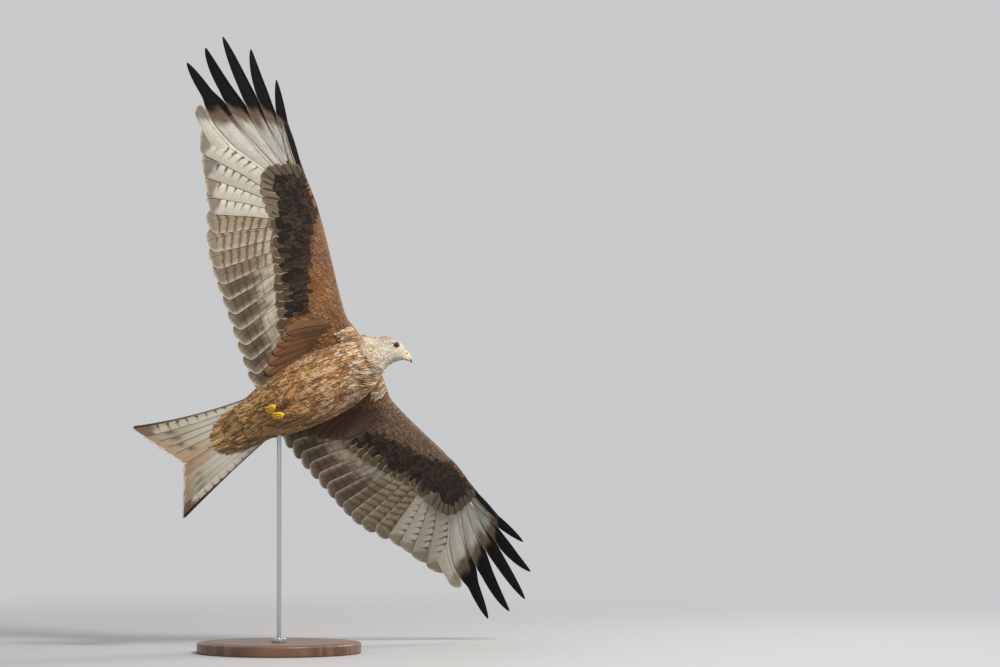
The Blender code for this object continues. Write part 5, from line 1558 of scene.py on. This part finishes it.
def make_skin():
    verts, faces, base = [], [], 0
    for rings in skin_parts():
        verts.append(rings.reshape(-1, 3))
        faces += quads_of(rings, base)
        base += rings.shape[0] * rings.shape[1]
    rough = bpy.data.meshes.new("skin_rough")
    rough.from_pydata(np.concatenate(verts).tolist(), [], faces)
    obj = add_object("skin_rough", rough)
    modifier = obj.modifiers.new("remesh", "REMESH")
    modifier.mode, modifier.voxel_size = "VOXEL", SKIN_VOXEL
    modifier = obj.modifiers.new("smooth", "SMOOTH")
    modifier.factor, modifier.iterations = 0.5, 4
    me = bpy.data.meshes.new_from_object(obj.evaluated_get(bpy.context.evaluated_depsgraph_get()))
    bpy.data.objects.remove(obj)
    me.name = "skin"
    co = np.empty(len(me.vertices) * 3)
    me.vertices.foreach_get("co", co)
    co = co.reshape(-1, 3)
    # the orbits: the skin dips to the lids and goes behind the eyeball
    away = co - EYE
    flat = np.hypot(away[:, 0], away[:, 2])
    limit = np.interp(flat * 1000, (0, 5.0, 5.5, 8.8), (14.0, 14.0, 19.6, 22.4)) / 1000
    near = (flat < 0.0088) & (np.abs(away[:, 1]) > 0.009)
    co[near, 1] = EYE[1] + np.sign(away[near, 1]) * np.minimum(np.abs(away[near, 1]), limit[near])
    me.vertices.foreach_set("co", co.ravel())
    points, tones = np.concatenate(coat_points), np.concatenate(coat_tones)
    tree = kdtree.KDTree(len(points))
    for i, p in enumerate(points):
        tree.insert(p, i)
    tree.balance()
    nearest = np.array([tree.find(p)[1] for p in co])
    add_vectors(me, "tone", tones[nearest])
    me.shade_smooth()
    skin = add_object("skin", me)
    me.materials.append(skin_material())
    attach(skin, "root")
    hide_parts("trunk", "neck", "head", "leg_left", "leg_right", "tail_coverts_under", "tail_coverts_over",
                "wing_left_arm", "wing_right_arm", "wing_left_hand", "wing_right_hand")


make_skin()

# ---------------------------------------------------------------- bill, cere, gape and eyes
UPPER_BILL = (
    (0.0214, -0.0125, 0.0192, -0.0286, 0.0076), (0.0250, -0.0160, 0.0220, -0.0303, 0.0068),
    (0.0279, -0.0182, 0.0245, -0.0320, 0.0060), (0.0306, -0.0236, 0.0268, -0.0336, 0.0052),
    (0.0333, -0.0290, 0.0290, -0.0354, 0.0040), (0.0351, -0.0349, 0.0308, -0.0375, 0.0027),
    (0.0349, -0.0385, 0.0320, -0.0392, 0.0016), (0.0334, -0.0412, 0.0326, -0.0411, 0.0004),
)
LOWER_BILL = (
    (0.0188, -0.0332, 0.0189, -0.0292, 0.0070), (0.0218, -0.0349, 0.0218, -0.0310, 0.0060),
    (0.0246, -0.0359, 0.0243, -0.0327, 0.0047), (0.0267, -0.0365, 0.0262, -0.0341, 0.0032),
    (0.0282, -0.0367, 0.0279, -0.0354, 0.0014),
)
CERE_END, NOSTRIL = 2.1, (0.0236, -0.0186)


def bill_rings(table, n, sides=28, swell=0.0):
    """D-shaped rings: flat along the cutting edge, round over the crest."""
    crest_x, crest_z, edge_x, edge_z, wide = smooth(np.arange(len(table)), np.array(table), n).T
    over = int(sides * 0.75)
    angle = np.concatenate([np.linspace(0, pi, over), np.full(sides - over, -1.0)])
    flat = np.linspace(-1, 1, sides - over + 2)[1:-1]
    rings = np.empty((len(n), sides, 3))
    for j, a in enumerate(angle):
        x, rise = (math.cos(a), math.sin(a) ** 0.8) if a >= 0 else (flat[j - over], 0.0)
        rings[:, j] = np.stack([EYE[0] + edge_x + (crest_x - edge_x) * rise, EYE[1] + wide * x,
                                EYE[2] + edge_z + (crest_z - edge_z) * rise], -1)
    if np.any(swell):
        middle = rings.mean(1, keepdims=True)
        rings = rings + unit(rings - middle) * np.reshape(swell, (-1, 1, 1))
    return rings


def horn_material():
    g = Graph("bill_horn")
    along = g.split(g.attribute("grid"))[0]
    stretched = g.node("ShaderNodeVectorMath", _operation="MULTIPLY", i0=g.place(), i1=(260, 900, 260))
    streaks = g.noise(stretched.outputs[0], 1.0, 3.0)
    dark = g.step(g.plus(along, g.times(streaks, 3.0)), 13.5, 22.0)
    tone = g.blend(srgb(184, 168, 158), srgb(70, 65, 64), dark)
    tone = g.blend(tone, srgb(120, 112, 104), g.times(streaks, 0.25))
    rough = g.plus(0.42, g.times(streaks, 0.18))
    return g.finish(Base_Color=tone, Roughness=rough, Normal=g.bump(streaks, 0.00012), Coat_Weight=0.05)


def yellow_material(name, base, deep, scale=900.0):
    g = Graph(name)
    place = g.place()
    dark = g.split(g.attribute("grid"))[2]
    grain = g.noise(place, scale, 3.0, 0.6)
    patches = g.noise(place, 160.0, 2.0)
    cells = g.node("ShaderNodeTexVoronoi", Vector=place, Scale=scale * 1.1, _feature="DISTANCE_TO_EDGE")
    cells = cells.outputs[0]
    tone = g.blend(base, deep, g.times(g.plus(patches, grain), 0.42))
    tone = g.blend(tone, g.blend(tone, srgb(90, 50, 8), 0.55), g.step(cells, 0.0, 0.09, 0.55, 0.0))
    tone = g.blend(tone, srgb(104, 58, 22), dark)
    relief = g.plus(g.step(cells, 0.0, 0.16), g.times(grain, 0.4))
    rough = g.plus(0.40, g.times(grain, 0.2))
    return g.finish(Base_Color=tone, Roughness=rough, Normal=g.bump(relief, 0.00016), Subsurface_Weight=0.12,
                    Subsurface_Scale=0.002)


HORN = horn_material()
CERE = yellow_material("cere_skin", srgb(218, 204, 148), srgb(204, 176, 98))
FOOT = yellow_material("foot_skin", srgb(232, 186, 24), srgb(196, 140, 12), 620.0)


def make_bill():
    n = np.linspace(0, len(UPPER_BILL) - 1, 64)
    upper = bill_rings(UPPER_BILL, n)
    loft_object("bill_upper_horn", [(upper, mark_grid(upper))], HORN, "bill_horn", "bill_upper")
    n = np.linspace(0, len(LOWER_BILL) - 1, 40)
    lower = bill_rings(LOWER_BILL, n)
    loft_object("bill_lower_horn", [(lower, mark_grid(lower))], HORN, "bill_horn", "bill_lower")
    n = np.concatenate([np.linspace(-0.15, CERE_END, 44), CERE_END + np.array([0.06, 0.10, 0.12])])
    swell = np.interp(n, (0, 0.8, CERE_END - 0.1, CERE_END, CERE_END + 0.12),
                      (0.0003, 0.0010, 0.0008, 0.0005, -0.0002))
    cere = bill_rings(UPPER_BILL, n, 56, swell)
    # its first ring lies inside the head
    behind = cere[:1] + 2.5 * (cere[:1] - cere[2:3])
    behind = behind + (behind.mean(1, keepdims=True) - behind) * 0.08
    cere = np.concatenate([behind, cere])
    grid = mark_grid(cere)
    centre = EYE + np.array([NOSTRIL[0], 0.0, NOSTRIL[1]])
    away = (cere - centre) * np.array([1.0, 0.0, 1.0])
    slant = np.array([0.5, 0.0, 0.87])
    stretched = away - slant * (away @ slant)[..., None] * 0.35
    dip = np.exp(-(np.linalg.norm(stretched, axis=-1) / 0.0018) ** 2.6)
    sideways = np.sign(cere[..., 1] - EYE[1])
    cere[..., 1] -= sideways * dip * 0.0006
    grid[..., 2] = np.clip(dip * 1.25, 0, 1)
    loft_object("cere", [(cere, grid)], CERE, "skin_yellow")


def head_side(x, z, side):
    """Point of the head's surface seen at (x, z) from the side, and its outward normal."""
    n, t = np.meshgrid(np.linspace(15, FACE, 240), np.linspace(0, 2 * pi, 361), indexing="ij")
    points = body_surface(n, t)
    away = points - EYE
    facing = away[..., 1] * side > 0
    distance = np.hypot(away[..., 0] - x, away[..., 2] - z) + np.where(facing, 0, 1.0)
    i = np.unravel_index(np.argmin(distance), distance.shape)
    _, normal, _, _ = body_frame(n[i], t[i])
    return points[i], normal


def make_gape():
    knots = ((-0.0050, -0.0118), (0.0008, -0.0168), (0.0070, -0.0208), (0.0130, -0.0250), (0.0192, -0.0290),
             (0.0225, -0.0306))
    parts = []
    for side in (-1, 1):
        line = []
        for x, z in knots[:-1]:
            point, normal = head_side(x, z, side)
            line.append(point + normal * 0.0002)
        line.append(np.array([EYE[0] + knots[-1][0], EYE[1] + side * 0.0064, EYE[2] + knots[-1][1]]))
        t = np.linspace(0, len(knots) - 1, 40)
        centres = smooth(np.arange(len(knots)), np.array(line), t)
        radii = np.interp(t, (0, 0.8, 3.5, len(knots) - 1), (0.0002, 0.0008, 0.0014, 0.0008))
        rings = tube_rings(centres, radii, 16)
        parts.append((rings, mark_grid(rings)))
    loft_object("gape", parts, CERE, "skin_yellow")


def eye_material():
    g = Graph("eyeball")
    angle, turn, _ = g.split(g.attribute("grid"))
    place = g.place()
    rays = g.noise(g.join(g.times(turn, 9.0), g.times(angle, 0.05), 0.0), 1.0, 3.0)
    iris = g.blend(srgb(128, 88, 42), srgb(74, 47, 24), rays)
    iris = g.blend(iris, srgb(38, 25, 15), g.step(angle, 40.0, 47.0))
    tone = g.blend(srgb(5, 4, 4), iris, g.step(angle, 29.0, 31.5))
    tone = g.blend(tone, srgb(30, 22, 18), g.step(angle, 47.0, 50.0))
    rough = g.plus(0.05, g.times(g.noise(place, 500.0), 0.04))
    return g.finish(Base_Color=tone, Roughness=rough, Normal=g.bump(rays, 0.00002), Coat_Weight=0.15,
                    Coat_Roughness=0.02, Specular_IOR_Level=0.25)


def lid_material():
    g = Graph("eyelid")
    place = g.place()
    grain = g.noise(place, 1500.0, 3.0, 0.6)
    tone = g.blend(srgb(52, 42, 34), srgb(104, 90, 70), grain)
    rough = g.plus(0.45, g.times(grain, 0.2))
    return g.finish(Base_Color=tone, Roughness=rough, Normal=g.bump(grain, 0.0001))


def make_eyes():
    eyeball, lid = eye_material(), lid_material()
    for name, side in (("right", -1), ("left", 1)):
        axis = unit(np.array([0.12, side * 1.0, 0.08]))
        across = unit(np.cross(axis, np.array([0.0, 0.0, 1.0])))
        over = np.cross(across, axis)
        centre = by_eye(0.0, 0.0, side * EYE_SIDE)
        angle = np.linspace(0.5, 179.5, 72)
        turn = np.linspace(0, 2 * pi, 56, endpoint=False)
        a = np.radians(angle)[:, None, None]
        round_axis = across * np.cos(turn)[None, :, None] + over * np.sin(turn)[None, :, None]
        ray = axis * np.cos(a) + round_axis * np.sin(a)
        bulge = EYE_RADIUS - 0.0001 + 0.00035 * np.exp(-(angle / 34.0) ** 4)
        rings = centre + ray * bulge[:, None, None]
        grid = np.stack(np.broadcast_arrays(angle[:, None], turn[None], 0.0), -1)
        loft_object(f"eyeball_{name}", [(rings, grid)], eyeball, "eye_amber", f"eye_{name}")
        # lids: a thin almond rim that lies on the eyeball
        turn = np.linspace(0, 2 * pi, 97)[:-1]
        open_angle = np.radians(49.0 + 3.2 * np.cos(2 * turn) - 5.0 * np.maximum(np.sin(turn), 0) ** 2)
        section = np.linspace(0, 2 * pi, 16, endpoint=False)
        rim = np.radians(7.5) * np.cos(section)[None] + open_angle[:, None] + np.radians(6.5)
        height = EYE_RADIUS + 0.00020 + 0.00045 * np.sin(section)[None]
        round_axis = across * np.cos(turn)[:, None, None] + over * np.sin(turn)[:, None, None]
        ray = axis * np.cos(rim)[..., None] + round_axis * np.sin(rim)[..., None]
        ring = centre + ray * height[..., None]
        ring = np.concatenate([ring, ring[:1]])
        loft_object(f"eyelid_{name}", [(ring, mark_grid(ring))], lid, "plumage_black")


make_bill()
make_gape()
make_eyes()

# ---------------------------------------------------------------- feet and claws
TARSUS_LENGTH, TOE_RADIUS, TOE_TAPER = 0.009, 0.0034, 0.74
# each toe's sideways start and slope, its reach and depth, its curl, and 1 for a toe that points back
TOES = (
    (-0.0048, -0.10, 0.0170, 0.0120, math.radians(104), 1), (0.0, 0.0, 0.0190, 0.0125, math.radians(102), 1),
    (0.0048, 0.10, 0.0170, 0.0120, math.radians(104), 1), (-0.0010, 0.0, 0.0026, 0.0075, math.radians(95), -1),
)
FOOT_TURN = {"left": -0.25, "right": 0.25}     # sideways slope of a whole foot, towards the other one
CLAW_ANGLE = math.radians(50)


def toe_arc(ball, lateral, slope, reach, depth, angle, direction):
    back = direction * reach * np.sin(angle)
    sideways = lateral + slope * reach * np.sin(np.minimum(angle, pi / 2))
    return bird(ball[0] - back, ball[1] + sideways, ball[2] + depth * (1 - np.cos(angle)))


def claw_material():
    g = Graph("claw_horn")
    along, turn, _ = g.split(g.attribute("grid"))
    place = g.place()
    lines = g.noise(g.join(along, g.times(turn, 4.0), 0.0), 1.2, 2.0)
    tone = g.blend(srgb(22, 20, 20), srgb(64, 58, 54), g.times(lines, 0.6))
    rough = g.plus(0.22, g.times(g.noise(place, 900.0), 0.2))
    return g.finish(Base_Color=tone, Roughness=rough, Normal=g.bump(lines, 0.00008), Coat_Weight=0.3)


CLAW = claw_material()


def make_foot(name):
    thigh, ankle = (np.array(p) for p in LEGS[name])
    heading = unit(ankle - thigh)
    start = ankle - heading * 0.004
    ball = ankle + heading * (TARSUS_LENGTH + 0.0008)
    line = start + (ball + heading * 0.004 - start) * np.linspace(0, 1, 40)[:, None]
    share = np.linspace(0, 1, 40)
    ridges = 0.00016 * np.abs(np.sin(share * pi * 11))
    radii = np.interp(share, (0, 0.7, 0.88, 0.97, 1), (0.0042, 0.0042, 0.0055, 0.0046, 0.0030)) + ridges
    rings = tube_rings(bird(*line.T), radii, 22)
    parts = [(rings, mark_grid(rings))]
    for number, (lateral, slope, reach, depth, curl, direction) in enumerate(TOES, 1):
        shape = (ball, lateral, slope + FOOT_TURN[name], reach, depth)
        share = np.linspace(-0.06, 1, 72)
        pads = 0.00045 * np.maximum(np.sin(share * pi * 3.0 + 0.5), 0) ** 1.5
        scutes = 0.00013 * np.abs(np.sin(share * curl * reach / 0.0021 * pi))
        radii = TOE_RADIUS * np.interp(share, (-0.06, 0.9, 1), (0.94, TOE_TAPER, 0.84 * TOE_TAPER)) - 0.0007
        rings = tube_rings(toe_arc(*shape, share * curl, direction), radii + pads + scutes, 22, LEFT)
        parts.append((rings, mark_grid(rings)))
        share = np.linspace(0, 1, 26)
        angle = curl - 0.12 + (CLAW_ANGLE + 0.12) * share
        radii = 0.0020 * (1 - share) ** 0.75 + 0.00012
        rings = tube_rings(toe_arc(*shape, angle, direction), radii, 16, LEFT)
        loft_object(f"talon_{name}_{number}", [(rings, mark_grid(rings))], CLAW, "claw_black",
                    f"claw_{name}_{number}")
    loft_object(f"toes_{name}", parts, FOOT, "skin_yellow", f"foot_{name}")


make_foot("left")
make_foot("right")

# ---------------------------------------------------------------- stand
BASE_RADIUS, BASE_THICKNESS, ROD_RADIUS, ROD_TOP, ROD_Y = 0.185, 0.024, 0.005, BODY_HEIGHT - 0.036, 0.004
COLLAR_RADIUS, COLLAR_HEIGHT = 0.017, 0.009


def lathe(profile, sides, x=0.0, y=0.0):
    """Rings of a turned shape from (radius, height) points."""
    turn = np.linspace(0, 2 * pi, sides, endpoint=False)
    return np.array([[(x + r * math.cos(a), y + r * math.sin(a), z) for a in turn] for r, z in profile])


def wood_material():
    g = Graph("stand_wood")
    place = g.place()
    x, y, z = g.split(place)
    warp = g.noise(g.join(g.times(x, 0.8), g.times(y, 5.0), z), 3.0, 3.0)
    rings = g.math("SINE", g.plus(g.times(y, 230.0), g.times(warp, 26.0)))
    fine = g.noise(g.join(g.times(x, 40.0), g.times(y, 900.0), g.times(z, 900.0)), 1.0, 3.0, 0.6)
    tone = g.blend(srgb(74, 48, 33), srgb(112, 76, 50), g.plus(0.5, g.times(rings, 0.4)))
    tone = g.blend(tone, srgb(46, 29, 20), g.step(fine, 0.55, 0.72, 0.0, 0.7))
    rough = g.plus(0.34, g.times(fine, 0.22))
    return g.finish(Base_Color=tone, Roughness=rough, Normal=g.bump(fine, 0.00012), Coat_Weight=0.25,
                    Coat_Roughness=0.25)


def steel_material():
    g = Graph("stand_steel")
    place = g.place()
    x, y, z = g.split(place)
    lines = g.noise(g.join(g.times(x, 300.0), g.times(y, 300.0), g.times(z, 9000.0)), 1.0, 2.0)
    wear = g.noise(place, 40.0, 3.0)
    tone = g.blend(srgb(176, 178, 182), srgb(206, 206, 208), g.times(g.plus(lines, wear), 0.5))
    rough = g.plus(0.24, g.times(lines, 0.22))
    return g.finish(Base_Color=tone, Roughness=rough, Metallic=1.0, Normal=g.bump(lines, 0.00003))


def rounded(radius, low, high, edge, steps=7):
    """Profile of a disc with rounded edges, from the middle of its underside to the middle of its top."""
    a = np.linspace(0, pi / 2, steps)
    under = [(radius - edge + edge * math.sin(t), low + edge * (1 - math.cos(t))) for t in a]
    over = [(radius - edge + edge * math.cos(t), high - edge * (1 - math.sin(t))) for t in a]
    return [(0.4 * radius, low)] + under + over


def make_stand():
    wood, steel = wood_material(), steel_material()
    turns = np.linspace(0.0, pi, 7)
    groove = [(0.172 + 0.0012 * math.cos(a), BASE_THICKNESS - 0.0012 * math.sin(a)) for a in turns]
    profile = rounded(BASE_RADIUS, 0.0, BASE_THICKNESS, 0.0036) + groove
    profile += [(0.12, BASE_THICKNESS), (0.03, BASE_THICKNESS)]
    rings = lathe(profile, 160)
    loft_object("base_disc", [(rings, mark_grid(rings))], wood, "stand_wood", "stand_base")
    rings = lathe([(ROD_RADIUS, z) for z in np.linspace(0.012, ROD_TOP, 24)], 40, 0.0, ROD_Y)
    loft_object("rod", [(rings, mark_grid(rings))], steel, "stand_steel", "stand_rod")
    low, high = BASE_THICKNESS + 0.0003, BASE_THICKNESS + 0.0003 + COLLAR_HEIGHT
    profile = rounded(COLLAR_RADIUS, low, high, 0.0011)
    profile += [(0.0085, high), (0.0068, high - 0.0008), (0.0052, high - 0.0012)]
    rings = lathe(profile, 80, 0.0, ROD_Y)
    loft_object("collar", [(rings, mark_grid(rings))], steel, "stand_steel", "stand_collar")


make_stand()

# ---------------------------------------------------------------- floor, light and camera
SKY, SKY_STRENGTH = srgb(232, 233, 235), 0.72
FLOOR_RADIUS, FLOOR_SIDES = 40.0, 96
FADE_START, FADE_END = 0.5, 3.0     # metres from the middle over which the floor turns into sky


def make_stage():
    scene = bpy.context.scene
    world = bpy.data.worlds.new("studio")
    scene.world = world
    world.use_nodes = True
    background = world.node_tree.nodes["Background"]
    background.inputs["Color"].default_value = (*SKY, 1.0)
    background.inputs["Strength"].default_value = SKY_STRENGTH
    turn = np.linspace(0, 2 * pi, FLOOR_SIDES, endpoint=False)
    rim = [(FLOOR_RADIUS * math.cos(a), FLOOR_RADIUS * math.sin(a), 0.0) for a in turn]
    me = bpy.data.meshes.new("floor")
    me.from_pydata(rim, [], [list(range(FLOOR_SIDES))])
    floor = add_object("floor", me)
    g = Graph("pale_floor")
    place = g.place()
    grain = g.noise(place, 60.0, 3.0)
    from_middle = g.node("ShaderNodeVectorMath", _operation="LENGTH", i0=place).outputs["Value"]
    far = g.step(from_middle, FADE_START, FADE_END)
    g.finish(Base_Color=g.blend(srgb(162, 162, 163), srgb(155, 156, 158), grain), Roughness=0.8)
    glow = g.node("ShaderNodeEmission", Color=(*SKY, 1.0), Strength=SKY_STRENGTH)
    mixed = g.node("ShaderNodeMixShader", Fac=far)
    g.tree.links.new(g.shader.outputs[0], mixed.inputs[1])
    g.tree.links.new(glow.outputs[0], mixed.inputs[2])
    g.tree.links.new(mixed.outputs[0], g.tree.nodes["Material Output"].inputs["Surface"])
    me.materials.append(g.material)
    target = np.array([0.12, 0.0, 0.72])
    for name, place, size, power, colour in (
        ("key", (1.7, -2.4, 3.2), 0.8, 190.0, (1.0, 0.96, 0.90)),
        ("fill", (-3.4, -3.0, 1.6), 3.0, 12.0, (0.94, 0.97, 1.0)),
        ("rim", (2.6, 1.6, 1.8), 0.9, 75.0, (1.0, 0.95, 0.88)),
    ):
        light = bpy.data.lights.new(name, "AREA")
        light.shape, light.size, light.energy, light.color = "DISK", size, power, colour
        obj = add_object(name, light)
        obj.location = place
        obj.rotation_euler = Vector(target - np.array(place)).to_track_quat("-Z", "Y").to_euler()
    camera = bpy.data.cameras.new("camera")
    camera.lens, camera.sensor_width = 192.0, 36.0
    eye = add_object("camera", camera)
    eye.location = (0.49725, -12.0, 0.718875)
    eye.rotation_euler = (pi / 2, 0.0, 0.0)
    scene.camera = eye
    scene.view_settings.view_transform = "Standard"


make_stage()
